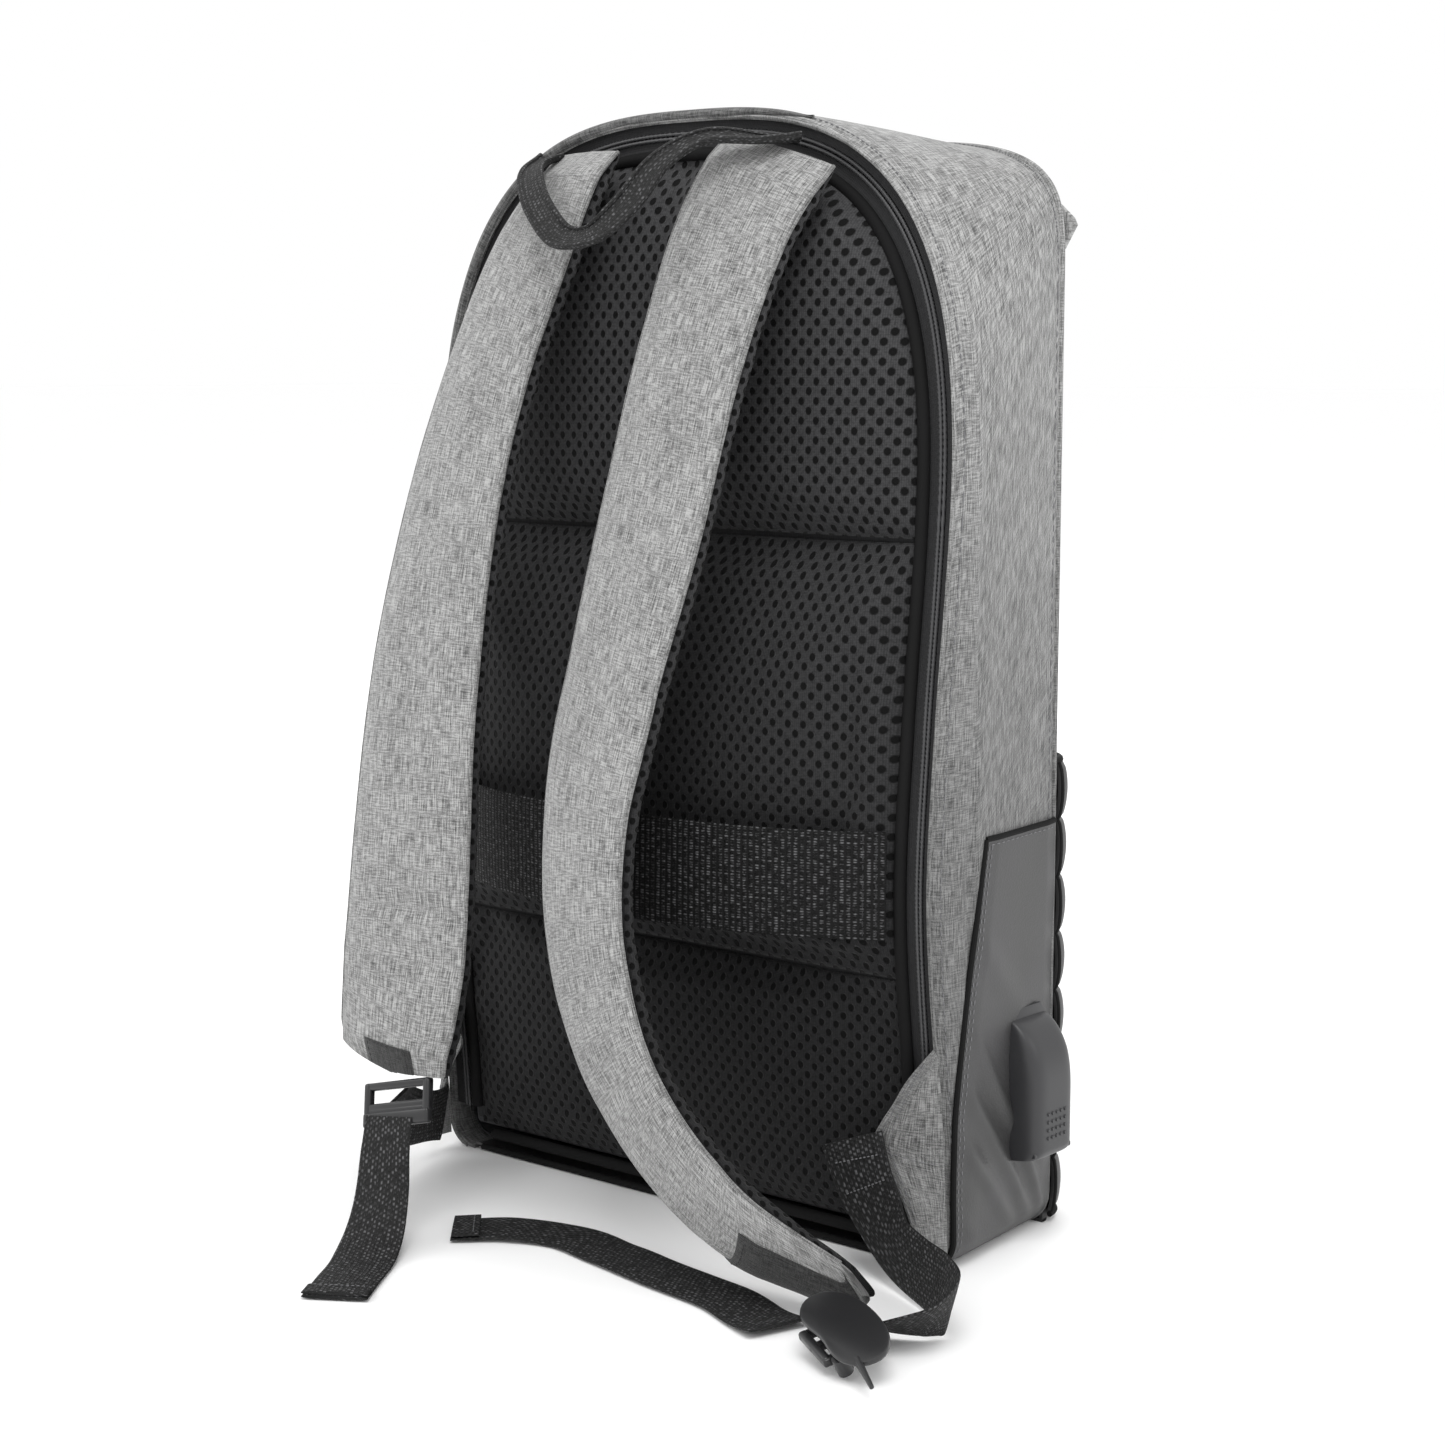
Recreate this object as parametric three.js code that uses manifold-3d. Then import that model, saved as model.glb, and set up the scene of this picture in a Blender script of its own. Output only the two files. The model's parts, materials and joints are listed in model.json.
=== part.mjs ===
// Solar backpack: a slim laptop backpack that opens at its harness side, with a solar flap in front.
// Millimetres. +X is the right side seen from the front, +Y the harness side, +Z up, floor at z = 0.
import * as THREE from "three";
import { mergeVertices } from "three/addons/utils/BufferGeometryUtils.js";
import Module from "manifold-3d";

const wasm = await Module();
wasm.setup();

// ---------------------------------------------------------------- driving dimensions
const GAP = 0.3; // clearance between pieces that touch
const FAR = 400; // half-length of a cutting block

const BAG = {
  half: 143, // half-width at the harness side
  top: 470, // crown of the harness side
  rise: 170, // height of the arch over the straight sides
  power: 2.85, // squareness of the arch
  foot: 14, // corner radius at the floor
  wall: 3,
  backPlane: 62, // the loft runs past the opening and is trimmed by the back profile
  fullDepth: 26, // from here backwards the outline is the harness outline
};
BAG.spring = BAG.top - BAG.rise;
const FRONT = { half: BAG.half - 5, top: BAG.top - 12, rise: 63, power: 4.5, foot: 14, y: -38 };
FRONT.spring = FRONT.top - FRONT.rise;
// Depth of the harness side (y) against height (z), a soft S.
const BACK_PROFILE = [[0, 40], [60, 45], [150, 54], [220, 50], [300, 42], [380, 38], [BAG.top + 30, 32]];

const LINING = 0.8;
const RIM = { thick: 1.4, width: 12 };
const SIDE_PANEL = { thick: 1.4, top: 176, reach: 43, hem: 6, front: 2 };
// Rear edge of the coated side panel: height against y.
const SIDE_SEAM = [[40, 0], [40, 30], [31, 100], [20, SIDE_PANEL.top]];
const ZIP = { tape: 4, coil: 1.6, thick: 1.5, coilThick: 2.4, sink: 4, from: 20 };
const PIPING = { width: 5, proud: 2 };
const PADS = { base: -4.5, edge: 3, foot: 10.5 };
const PAD_BANDS = [
  { name: "back_pad_lower", from: 12, to: 118, crown: 14 },
  { name: "back_pad_middle", from: 120, to: 294.5, crown: 25 },
  { name: "back_pad_upper", from: 296.5, to: BAG.top, crown: 14 },
];
const BOARD = { thick: 4, behind: 5 };
const LUGGAGE = { from: 138, to: 182, thick: 1.6, edge: 4, clear: 11, sharpness: 2.4 };
const WING = { thick: 3, clear: 4, reach: 40 };

const POCKET = { half: FRONT.half - 2, top: 200, from: 1.5, depth: 17, wall: 2, corner: 16 };
const QUILT = { channels: 8, thick: 2.2, bulge: 3, half: POCKET.half - 8, from: 4 };
const FLAP = { half: FRONT.half - 8, top: FRONT.top - 18, bottom: POCKET.top + 3, thick: 3 };
const EAR = { reach: 12, tip: 18, foot: 38, corner: 12, bevel: 3 };
const SOLAR = { half: FLAP.half - 18, from: FLAP.bottom + 11, to: FLAP.top - 16 };
const CELLS = { columns: 2, rows: 3, gap: 4, margin: 8, corner: 7, thick: 0.8 };
const SHEETS = { board: 1.6, cover: 0.8, lip: 2 };
const REGULATOR = { width: 70, height: 46, thick: 11, x: 20, z: 320 };
const PATCH = { width: 60, height: 20, thick: 1, z: FLAP.bottom + 5, x: 80 };

const SLEEVE = { half: FRONT.half - 16, from: 8, to: 286, depth: 15, wall: 4 };
const ORGANISER = { from: 60, to: 196, x0: -20, x1: 104, depth: 10, wall: 1.2 };
const BANK = { y0: -1, y1: 30, from: 14, to: 112, depth: 21, wall: 1.2, aside: 3 };
const BASE_BOARD = { thick: 2.4, half: FRONT.half - FRONT.foot - 1, back: 30 };

const USB = { y: -15, width: 30, bottom: 38, top: 97, proud: 16, recess: 6, shell: 12 };
const SOCKET = { x: 13.2, y: 6, wall: 0.5, tongue: 1.8, tongueWide: 11 };
const PLATE = { thick: 2, behind: 12, ahead: 10, from: 44, to: 92, aside: 2.2 };
const LEAD = { radius: 1.7, sides: 8 };
const USB_PLUG = { width: 12, thick: 8, long: 36, top: 152, y: 4 };
const CHARGE_PLUG = { width: 9, thick: 6, long: 30, top: 144, y: 20.5 };

const STRAP = { pad: 10, mesh: 4.5, hem: 3, sections: 30, across: 4, bend: 100, seam: 24 };
const WEBBING = { width: 27, thick: 1.5 };
const LOCK = { length: 34, width: 40, thick: 6, bar: 4, slot: 3.8 };
const SLIDER = { long: 11, wide: 5.2, high: 4, upperZ: 258, lowerZ: 220, seat: -0.4, aside: 0.6 };
const PULL = { long: 24, wide: 4.6, thick: 1.6, head: 0.8, neck: 2.8, shoulder: 3, gap: 0.6 };
const HAUL = { width: 16, thick: 3 };

// ---------------------------------------------------------------- materials
const finishes = {
  melange: { color: 0x9b9b9a, roughness: 0.92, metalness: 0 },
  heather: { color: 0x55575a, roughness: 0.92, metalness: 0 },
  mesh: { color: 0x17171a, roughness: 0.95, metalness: 0 },
  webbing: { color: 0x1c1d20, roughness: 0.85, metalness: 0 },
  coated: { color: 0x2f3033, roughness: 0.5, metalness: 0 },
  lining: { color: 0x26262a, roughness: 0.8, metalness: 0 },
  board: { color: 0x3a3a3c, roughness: 0.8, metalness: 0 },
  plastic: { color: 0x34353a, roughness: 0.35, metalness: 0 },
  metal: { color: 0xb9bcc0, roughness: 0.3, metalness: 1 },
  gunmetal: { color: 0x3b3c40, roughness: 0.35, metalness: 1 },
  cell: { color: 0x10131f, roughness: 0.25, metalness: 0 },
  cover: { color: 0xdfe6ea, roughness: 0.15, metalness: 0 },
};

// ---------------------------------------------------------------- solids and booleans
const group = new THREE.Group();

// Closed geometry as a solid; a form whose rings run the other way round is turned outwards.
function solid(geometry) {
  const bare = geometry.clone();
  bare.deleteAttribute("normal");
  bare.deleteAttribute("uv");
  const merged = mergeVertices(bare, 1e-3);
  const vertProperties = new Float32Array(merged.attributes.position.array);
  const triVerts = new Uint32Array(merged.index.array);
  const made = new wasm.Manifold(new wasm.Mesh({ numProp: 3, vertProperties, triVerts }));
  if (made.volume() > 0) return made;
  return new wasm.Manifold(new wasm.Mesh({ numProp: 3, vertProperties, triVerts: triVerts.reverse() }));
}

function geometryOf(shape) {
  const mesh = shape.getMesh();
  const geometry = new THREE.BufferGeometry();
  geometry.setAttribute("position", new THREE.Float32BufferAttribute(mesh.vertProperties, 3));
  geometry.setIndex(new THREE.Uint32BufferAttribute(mesh.triVerts, 1));
  geometry.computeVertexNormals();
  return geometry;
}

const meet = (...shapes) => shapes.reduce((a, b) => a.intersect(b));
const join = (...shapes) => shapes.reduce((a, b) => a.add(b));
const cut = (shape, ...tools) => tools.reduce((a, b) => a.subtract(b), shape);

function place(name, shape, finish) {
  const geometry = shape.isBufferGeometry ? shape : geometryOf(shape);
  const mesh = new THREE.Mesh(geometry, new THREE.MeshStandardMaterial(finishes[finish]));
  mesh.name = name;
  group.add(mesh);
  return mesh;
}

function block(x0, x1, y0, y1, z0, z1) {
  const box = new THREE.BoxGeometry(x1 - x0, y1 - y0, z1 - z0);
  return solid(box.translate((x0 + x1) / 2, (y0 + y1) / 2, (z0 + z1) / 2));
}

function extruded(points, depth) {
  const shape = new THREE.Shape(points.map(([a, b]) => new THREE.Vector2(a, b)));
  return new THREE.ExtrudeGeometry(shape, { depth, bevelEnabled: false });
}

// Prism along X from (y, z) points, along Y from (x, z) points, along Z from (x, y) points.
function prismX(points, x0, x1) {
  const geometry = extruded(points, x1 - x0);
  const turn = new THREE.Matrix4().makeBasis(
    new THREE.Vector3(0, 1, 0), new THREE.Vector3(0, 0, 1), new THREE.Vector3(1, 0, 0)
  );
  return solid(geometry.applyMatrix4(turn).translate(x0, 0, 0));
}

function prismY(points, y0, y1) {
  const geometry = extruded(points, y1 - y0);
  return solid(geometry.rotateX(Math.PI / 2).translate(0, y1, 0));
}

function prismZ(points, z0, z1) {
  return solid(extruded(points, z1 - z0).translate(0, 0, z0));
}

// A cylinder whose rings are moved onto outlines: rings is a list of { y, points }.
function loft(rings) {
  const around = rings[0].points.length;
  const geometry = new THREE.CylinderGeometry(1, 1, 1, around, rings.length - 1);
  const position = geometry.attributes.position;
  for (let i = 0; i < position.count; i += 1) {
    const [x, level, z] = [position.getX(i), position.getY(i) + 0.5, position.getZ(i)];
    const ring = rings[Math.round(level * (rings.length - 1))];
    if (Math.hypot(x, z) < 0.5) {
      position.setXYZ(i, 0, ring.y, BAG.spring / 2);
    } else {
      const turn = Math.round((Math.atan2(x, z) / (2 * Math.PI)) * around);
      const [px, pz] = ring.points[(turn + around) % around];
      position.setXYZ(i, px, ring.y, pz);
    }
  }
  return solid(geometry);
}

// A box modelled along Z from 0 to 1, laid along a curve: local x goes sideways, local y outwards.
function along(route, faces, geometry) {
  const curve = new THREE.CatmullRomCurve3(route.map((p) => new THREE.Vector3(...p)));
  const facing = new THREE.CatmullRomCurve3(faces.map((p) => new THREE.Vector3(...p)));
  const position = geometry.attributes.position;
  for (let i = 0; i < position.count; i += 1) {
    const t = THREE.MathUtils.clamp(position.getZ(i), 0, 1);
    const tangent = curve.getTangent(t);
    const side = new THREE.Vector3().crossVectors(tangent, facing.getPoint(t)).normalize();
    const out = new THREE.Vector3().crossVectors(side, tangent).normalize();
    const point = curve.getPoint(t)
      .addScaledVector(side, position.getX(i))
      .addScaledVector(out, position.getY(i));
    position.setXYZ(i, point.x, point.y, point.z);
  }
  return solid(geometry);
}

// Strip along a route; width(t) and thick(t) in millimetres, low is the inner face's offset.
function strip(route, faces, { width, thick, low = () => 0, steps = STRAP.sections, across = 1 }) {
  const box = new THREE.BoxGeometry(1, 1, 1, across, 1, steps);
  const position = box.attributes.position;
  for (let i = 0; i < position.count; i += 1) {
    const t = position.getZ(i) + 0.5;
    const y = low(t) + (position.getY(i) + 0.5) * thick(t);
    position.setXYZ(i, position.getX(i) * width(t), y, t);
  }
  return along(route, faces, box);
}

// Tube through points, with flat ends.
function tube(points, radius, sides, steps) {
  const curve = new THREE.CatmullRomCurve3(points.map((p) => new THREE.Vector3(...p)));
  const section = new THREE.Shape();
  for (let k = 0; k < sides; k += 1) {
    const a = (2 * Math.PI * k) / sides;
    const [x, y] = [radius * Math.cos(a), radius * Math.sin(a)];
    if (k) section.lineTo(x, y);
    else section.moveTo(x, y);
  }
  return solid(new THREE.ExtrudeGeometry(section, { steps, extrudePath: curve, bevelEnabled: false }));
}

// ---------------------------------------------------------------- outlines
// Arched outline, grown outwards by grow (negative shrinks it); points run once round.
function arch({ half, top, spring, power, foot }, grow = 0, arcSteps = 28, footSteps = 4) {
  const points = [];
  const side = half + grow;
  const rise = top + grow - spring;
  for (let k = 0; k <= arcSteps; k += 1) {
    const a = (Math.PI * k) / arcSteps;
    const [c, s] = [Math.cos(a), Math.sin(a)];
    const x = side * Math.sign(c) * Math.abs(c) ** (2 / power);
    points.push([x, spring + rise * Math.abs(s) ** (2 / power)]);
  }
  const radius = Math.max(foot + grow, 2);
  for (const [corner, start] of [[-1, Math.PI], [1, 1.5 * Math.PI]]) {
    for (let k = 0; k <= footSteps; k += 1) {
      const a = start + (Math.PI / 2) * (k / footSteps);
      const cx = corner * (side - radius);
      points.push([cx + radius * Math.cos(a), radius - grow + radius * Math.sin(a)]);
    }
  }
  return points;
}

const backCurve = new THREE.SplineCurve(BACK_PROFILE.map(([z, y]) => new THREE.Vector2(z, y)));
const backPoints = backCurve.getPoints(26).map((p) => [p.y, p.x]);

// Depth of the harness side at a height.
function backY(z) {
  for (let k = 1; k < backPoints.length; k += 1) {
    const [[y0, z0], [y1, z1]] = [backPoints[k - 1], backPoints[k]];
    if (z <= z1) return y0 + ((y1 - y0) * (z - z0)) / (z1 - z0);
  }
  return backPoints.at(-1)[0];
}

// Slab that follows the back profile, from offset a to offset b outwards.
function slab(a, b) {
  const inner = backPoints.map(([y, z]) => [y + a, z]);
  const outer = backPoints.map(([y, z]) => [y + b, z]).reverse();
  return prismX([...inner, ...outer].map(([y, z]) => [y, z < 1 ? z - 20 : z]).reverse(), -FAR, FAR);
}

const inFront = slab(-200, 0);

// The bag's outer form, grown by grow.
function bagForm(grow) {
  return loft([
    { y: FRONT.y - grow, points: arch(FRONT, grow) },
    { y: BAG.fullDepth, points: arch(BAG, grow) },
    { y: BAG.backPlane, points: arch(BAG, grow) },
  ]);
}

// Column inside the harness outline, inset from the bag's outer edge.
const column = (inset) => prismY(arch(BAG, -inset), -FAR, FAR);
const ringOf = (insetA, insetB) => cut(column(insetA), column(insetB));

// ---------------------------------------------------------------- bag: shell and trims
const outer = bagForm(0);
const openBack = bagForm(-BAG.wall);
place("main_shell", meet(cut(outer, openBack), inFront), "melange");

const liningOuter = bagForm(-BAG.wall - GAP);
const liningInner = bagForm(-BAG.wall - GAP - LINING);
const liningDepth = slab(-200, -10);
place("main_lining", meet(cut(liningOuter, liningInner), liningDepth), "lining");

const rimZone = meet(slab(-RIM.width, 0), block(-FAR, FAR, -FAR, FAR, BAG.spring, FAR * 2));
place("rim_band", meet(cut(bagForm(GAP + RIM.thick), bagForm(GAP)), rimZone), "heather");

const seamPoints = [...SIDE_SEAM, [-60, SIDE_PANEL.top], [-60, 0]];
const panelSkin = meet(
  cut(bagForm(GAP + SIDE_PANEL.thick), bagForm(GAP)),
  prismX(seamPoints, -FAR, FAR),
  block(-FAR, FAR, FRONT.y + SIDE_PANEL.front, FAR, SIDE_PANEL.hem, FAR)
);
const panelEdge = BAG.half - SIDE_PANEL.reach;
const usbPlace = block(
  -FAR, 0, USB.y - USB.width / 2 - GAP, USB.y + USB.width / 2 + GAP, USB.bottom - GAP, USB.top + GAP
);
place("side_panel_left", cut(panelSkin, block(-panelEdge, FAR, -FAR, FAR, 0, FAR), usbPlace), "coated");
place("side_panel_right", cut(panelSkin, block(-FAR, panelEdge, -FAR, FAR, 0, FAR)), "coated");

// ---------------------------------------------------------------- zipper round the opening
const zipHeight = block(-FAR, FAR, -FAR, FAR, ZIP.from, FAR * 2);
const zipInset = { outer: BAG.wall + GAP }; // distances in from the bag's outer edge
zipInset.outerCoil = zipInset.outer + ZIP.tape + GAP;
zipInset.innerCoil = zipInset.outerCoil + ZIP.coil + GAP;
zipInset.inner = zipInset.innerCoil + ZIP.coil + GAP;
zipInset.piping = zipInset.inner + ZIP.tape + GAP;
zipInset.pads = zipInset.piping + PIPING.width + GAP;
const tapeSlab = meet(slab(-ZIP.sink, -ZIP.sink + ZIP.thick), zipHeight);
const coilSlab = meet(slab(-ZIP.sink, -ZIP.sink + ZIP.coilThick), zipHeight);
const coilEnd = (inset) => inset + ZIP.coil;
place("zip_tape_outer", meet(ringOf(zipInset.outer, zipInset.outer + ZIP.tape), tapeSlab), "webbing");
place("zip_coil_outer", meet(ringOf(zipInset.outerCoil, coilEnd(zipInset.outerCoil)), coilSlab), "webbing");
place("zip_coil_inner", meet(ringOf(zipInset.innerCoil, coilEnd(zipInset.innerCoil)), coilSlab), "webbing");
place("zip_tape_inner", meet(ringOf(zipInset.inner, zipInset.inner + ZIP.tape), tapeSlab), "webbing");

const sliderX = BAG.half - zipInset.outer - ZIP.tape / 2 - SLIDER.aside;
for (const [name, z] of [["upper", SLIDER.upperZ], ["lower", SLIDER.lowerZ]]) {
  const y = backY(z) + SLIDER.seat;
  const [x0, x1] = [sliderX - SLIDER.wide / 2, sliderX + SLIDER.wide / 2];
  const body = block(x0, x1, y, y + SLIDER.high * 0.55, z - SLIDER.long / 2, z + SLIDER.long / 2);
  const bridge = block(x0 + 1.6, x1 - 1.6, y, y + SLIDER.high, z - SLIDER.long / 4, z + SLIDER.long / 4);
  place(`zip_slider_${name}`, join(body, bridge), "gunmetal");
  const pullY = y + SLIDER.high + PULL.gap;
  const pull = prismY([
    [sliderX - PULL.wide / 2, z - PULL.long],
    [sliderX + PULL.wide / 2, z - PULL.long],
    [sliderX + PULL.wide / 2, z - PULL.shoulder],
    [sliderX + PULL.neck / 2, z + PULL.head],
    [sliderX - PULL.neck / 2, z + PULL.head],
    [sliderX - PULL.wide / 2, z - PULL.shoulder],
  ], pullY, pullY + PULL.thick);
  place(`zip_pull_${name}`, pull, "gunmetal");
}

// ---------------------------------------------------------------- opening back panel
const boardSlab = slab(-BOARD.behind - BOARD.thick, -BOARD.behind);
place("back_board", meet(column(zipInset.inner + 2 * GAP), boardSlab), "board");
const pipingRing = ringOf(zipInset.piping, zipInset.piping + PIPING.width);
place("back_piping", meet(pipingRing, slab(PADS.base, PIPING.proud)), "coated");

// Crowned pad between two seams: swelling in height and in width.
const padHalf = BAG.half - zipInset.pads;
function crowned({ from, to, crown }) {
  const low = Math.max(from, PADS.foot);
  const high = Math.min(to, BAG.top - zipInset.pads);
  const steps = 12;
  const front = [];
  for (let k = 0; k <= steps; k += 1) {
    const t = k / steps;
    const z = low + (high - low) * t;
    front.push([backY(z) + PADS.edge + (crown - PADS.edge) * (1 - Math.abs(2 * t - 1) ** 3), z]);
  }
  const back = front.map(([, z]) => [backY(z) + PADS.base, z]).reverse();
  const tall = prismX([...front, ...back], -padHalf, padHalf);
  const peak = Math.max(...front.map(([y]) => y));
  const wide = [[-padHalf, -FAR]];
  for (let k = 0; k <= steps; k += 1) {
    const u = (2 * k) / steps - 1;
    wide.push([u * padHalf, peak - crown * Math.abs(u) ** 3]);
  }
  wide.push([padHalf, -FAR]);
  return meet(tall, prismZ(wide.reverse(), 0, FAR * 2), column(zipInset.pads));
}
for (const band of PAD_BANDS) place(band.name, crowned(band), "mesh");

// Luggage strap: webbing tacked down at both edges and bowed clear of the middle pad.
const luggageY = backY((LUGGAGE.from + LUGGAGE.to) / 2) + LUGGAGE.edge;
const luggageBow = PAD_BANDS[1].crown + LUGGAGE.clear - LUGGAGE.edge;
function luggageOutline() {
  const line = [];
  const steps = 20;
  for (let k = 0; k <= steps; k += 1) {
    const u = (2 * k) / steps - 1;
    line.push([u * padHalf, luggageY + luggageBow * (1 - Math.abs(u) ** LUGGAGE.sharpness)]);
  }
  const outerLine = line.map(([x, y]) => [x, y + LUGGAGE.thick]).reverse();
  return [...line, ...outerLine];
}
place("luggage_strap", prismZ(luggageOutline(), LUGGAGE.from, LUGGAGE.to), "webbing");

// Corner wings that carry the lower webbing, clear of the lower pad's crown at their inner corner.
const wingInner = BAG.half - WING.reach;
const wingOutline = [[24 - BAG.half, 9], [-wingInner, 49], [13 - BAG.half, 87], [7 - BAG.half, 9]];
const wingProud = PAD_BANDS[0].crown * (1 - (wingInner / padHalf) ** 3) + WING.clear;
const wingSlab = slab(wingProud, wingProud + WING.thick);
for (const [name, sign] of [["left", 1], ["right", -1]]) {
  const outline = wingOutline.map(([x, z]) => [x * sign, z]);
  const ordered = sign > 0 ? outline.reverse() : outline;
  place(`wing_${name}`, meet(prismY(ordered, -FAR, FAR), wingSlab), "melange");
}

// ---------------------------------------------------------------- front pocket with quilted face
const pocketBack = FRONT.y - GAP;
const pocketFront = pocketBack - POCKET.depth;
function roundedPlan(half, y0, y1, radius) {
  const points = [[-half, y1], [half, y1]];
  for (const [sign, start] of [[1, 0], [-1, -Math.PI / 2]]) {
    for (let k = 0; k <= 4; k += 1) {
      const a = start - (Math.PI / 2) * (k / 4);
      points.push([sign * (half - radius) + radius * Math.cos(a), y0 + radius + radius * Math.sin(a)]);
    }
  }
  return points.reverse();
}
const pocketPlan = roundedPlan(POCKET.half, pocketFront, pocketBack, POCKET.corner);
const roomPlan = roundedPlan(
  POCKET.half - POCKET.wall, pocketFront + POCKET.wall, FRONT.y + 1, POCKET.corner - POCKET.wall
);
const pocketRoom = prismZ(roomPlan, POCKET.from + POCKET.wall, POCKET.top + 1);
place("front_pocket", cut(prismZ(pocketPlan, POCKET.from, POCKET.top), pocketRoom), "coated");

const quiltPoints = [];
const quiltBack = pocketFront - GAP;
const quiltFace = quiltBack - QUILT.thick;
const channel = (POCKET.top - QUILT.from) / QUILT.channels;
const CHANNEL_STEPS = 5;
for (let k = 0; k < QUILT.channels * CHANNEL_STEPS; k += 1) {
  const turn = (Math.PI * (k % CHANNEL_STEPS)) / CHANNEL_STEPS;
  const swell = QUILT.bulge * Math.sin(turn) ** 0.7;
  quiltPoints.push([quiltFace - swell, QUILT.from + (channel * k) / CHANNEL_STEPS]);
}
quiltPoints.push([quiltFace, POCKET.top], [quiltBack, POCKET.top], [quiltBack, QUILT.from]);
place("front_quilt", prismX(quiltPoints.reverse(), -QUILT.half, QUILT.half), "coated");

// ---------------------------------------------------------------- solar flap
const flapBack = FRONT.y - 2 * PATCH.thick - 3 * GAP;
const flapFace = flapBack - FLAP.thick;
const flapRight = [
  [FLAP.half, FLAP.bottom], [FLAP.half, FLAP.top - EAR.foot],
  [FLAP.half + EAR.reach, FLAP.top - EAR.tip], [FLAP.half - EAR.bevel, FLAP.top - EAR.bevel],
  [FLAP.half - EAR.corner, FLAP.top],
];
const flapLeft = flapRight.map(([x, z]) => [-x, z]).reverse();
place("solar_flap", prismY([...flapRight, ...flapLeft], flapFace, flapBack), "melange");

const boardFace = flapFace - GAP - SHEETS.board;
const panelBlock = (lip, y0, y1) => block(
  lip - SOLAR.half, SOLAR.half - lip, y0, y1, SOLAR.from + lip, SOLAR.to - lip
);
place("solar_board", panelBlock(0, boardFace, flapFace - GAP), "plastic");
const cellWide = (2 * (SOLAR.half - CELLS.margin) - CELLS.gap * (CELLS.columns - 1)) / CELLS.columns;
const cellRoom = SOLAR.to - SOLAR.from - 2 * CELLS.margin;
const cellTall = (cellRoom - CELLS.gap * (CELLS.rows - 1)) / CELLS.rows;
const cellFace = boardFace - GAP - CELLS.thick;
for (let k = 0; k < CELLS.rows * CELLS.columns; k += 1) {
  const x0 = CELLS.margin - SOLAR.half + (k % CELLS.columns) * (cellWide + CELLS.gap);
  const z0 = SOLAR.from + CELLS.margin + Math.floor(k / CELLS.columns) * (cellTall + CELLS.gap);
  const [x1, z1, c] = [x0 + cellWide, z0 + cellTall, CELLS.corner];
  const outline = [
    [x0 + c, z0], [x1 - c, z0], [x1, z0 + c], [x1, z1 - c],
    [x1 - c, z1], [x0 + c, z1], [x0, z1 - c], [x0, z0 + c],
  ];
  place(`solar_cell_${k + 1}`, prismY(outline, cellFace, boardFace - GAP), "cell");
}
place("solar_cover", panelBlock(SHEETS.lip, cellFace - GAP - SHEETS.cover, cellFace - GAP), "cover");

// Touch-fastener patches: the loop side on the bag, the hook side behind the flap.
for (const [name, sign] of [["left", -1], ["right", 1]]) {
  const [x0, x1] = [sign * PATCH.x - PATCH.width / 2, sign * PATCH.x + PATCH.width / 2];
  const loopFace = FRONT.y - GAP - PATCH.thick;
  const hookFace = loopFace - GAP - PATCH.thick;
  const [z0, z1] = [PATCH.z, PATCH.z + PATCH.height];
  place(`loop_patch_${name}`, block(x0, x1, loopFace, FRONT.y - GAP, z0, z1), "webbing");
  place(`hook_patch_${name}`, block(x0, x1, hookFace, loopFace - GAP, z0, z1), "webbing");
}

// ---------------------------------------------------------------- inside the bag
const floorInside = BAG.wall + GAP + LINING + GAP;
place(
  "base_board",
  block(
    -BASE_BOARD.half, BASE_BOARD.half, FRONT.y + floorInside + 1, BASE_BOARD.back,
    floorInside, floorInside + BASE_BOARD.thick
  ),
  "board"
);
const sleeveBack = FRONT.y + BAG.wall + 2 * GAP + LINING;
const sleeveFace = sleeveBack + SLEEVE.depth + SLEEVE.wall;
const sleeveForm = block(-SLEEVE.half, SLEEVE.half, sleeveBack, sleeveFace, SLEEVE.from, SLEEVE.to);
const sleeveRoom = block(
  -SLEEVE.half + SLEEVE.wall, SLEEVE.half - SLEEVE.wall, sleeveBack - 1, sleeveFace - SLEEVE.wall,
  SLEEVE.from + SLEEVE.wall, SLEEVE.to + 1
);
place("laptop_sleeve", cut(sleeveForm, sleeveRoom), "lining");

function openPocket(x0, x1, y0, y1, z0, z1, wall, open) {
  const room = {
    back: block(x0 + wall, x1 - wall, y0 - 1, y1 - wall, z0 + wall, z1 + 1),
    side: block(x0 - 1, x1 - wall, y0 + wall, y1 - wall, z0 + wall, z1 + 1),
  };
  return cut(block(x0, x1, y0, y1, z0, z1), room[open]);
}
const organiserBack = sleeveFace + GAP;
place(
  "organiser_pocket",
  openPocket(
    ORGANISER.x0, ORGANISER.x1, organiserBack, organiserBack + ORGANISER.depth,
    ORGANISER.from, ORGANISER.to, ORGANISER.wall, "back"
  ),
  "lining"
);
const bankX = -BAG.half + BAG.wall + 2 * GAP + LINING + BANK.aside;
place(
  "power_bank_pocket",
  openPocket(bankX, bankX + BANK.depth, BANK.y0, BANK.y1, BANK.from, BANK.to, BANK.wall, "side"),
  "lining"
);

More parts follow.
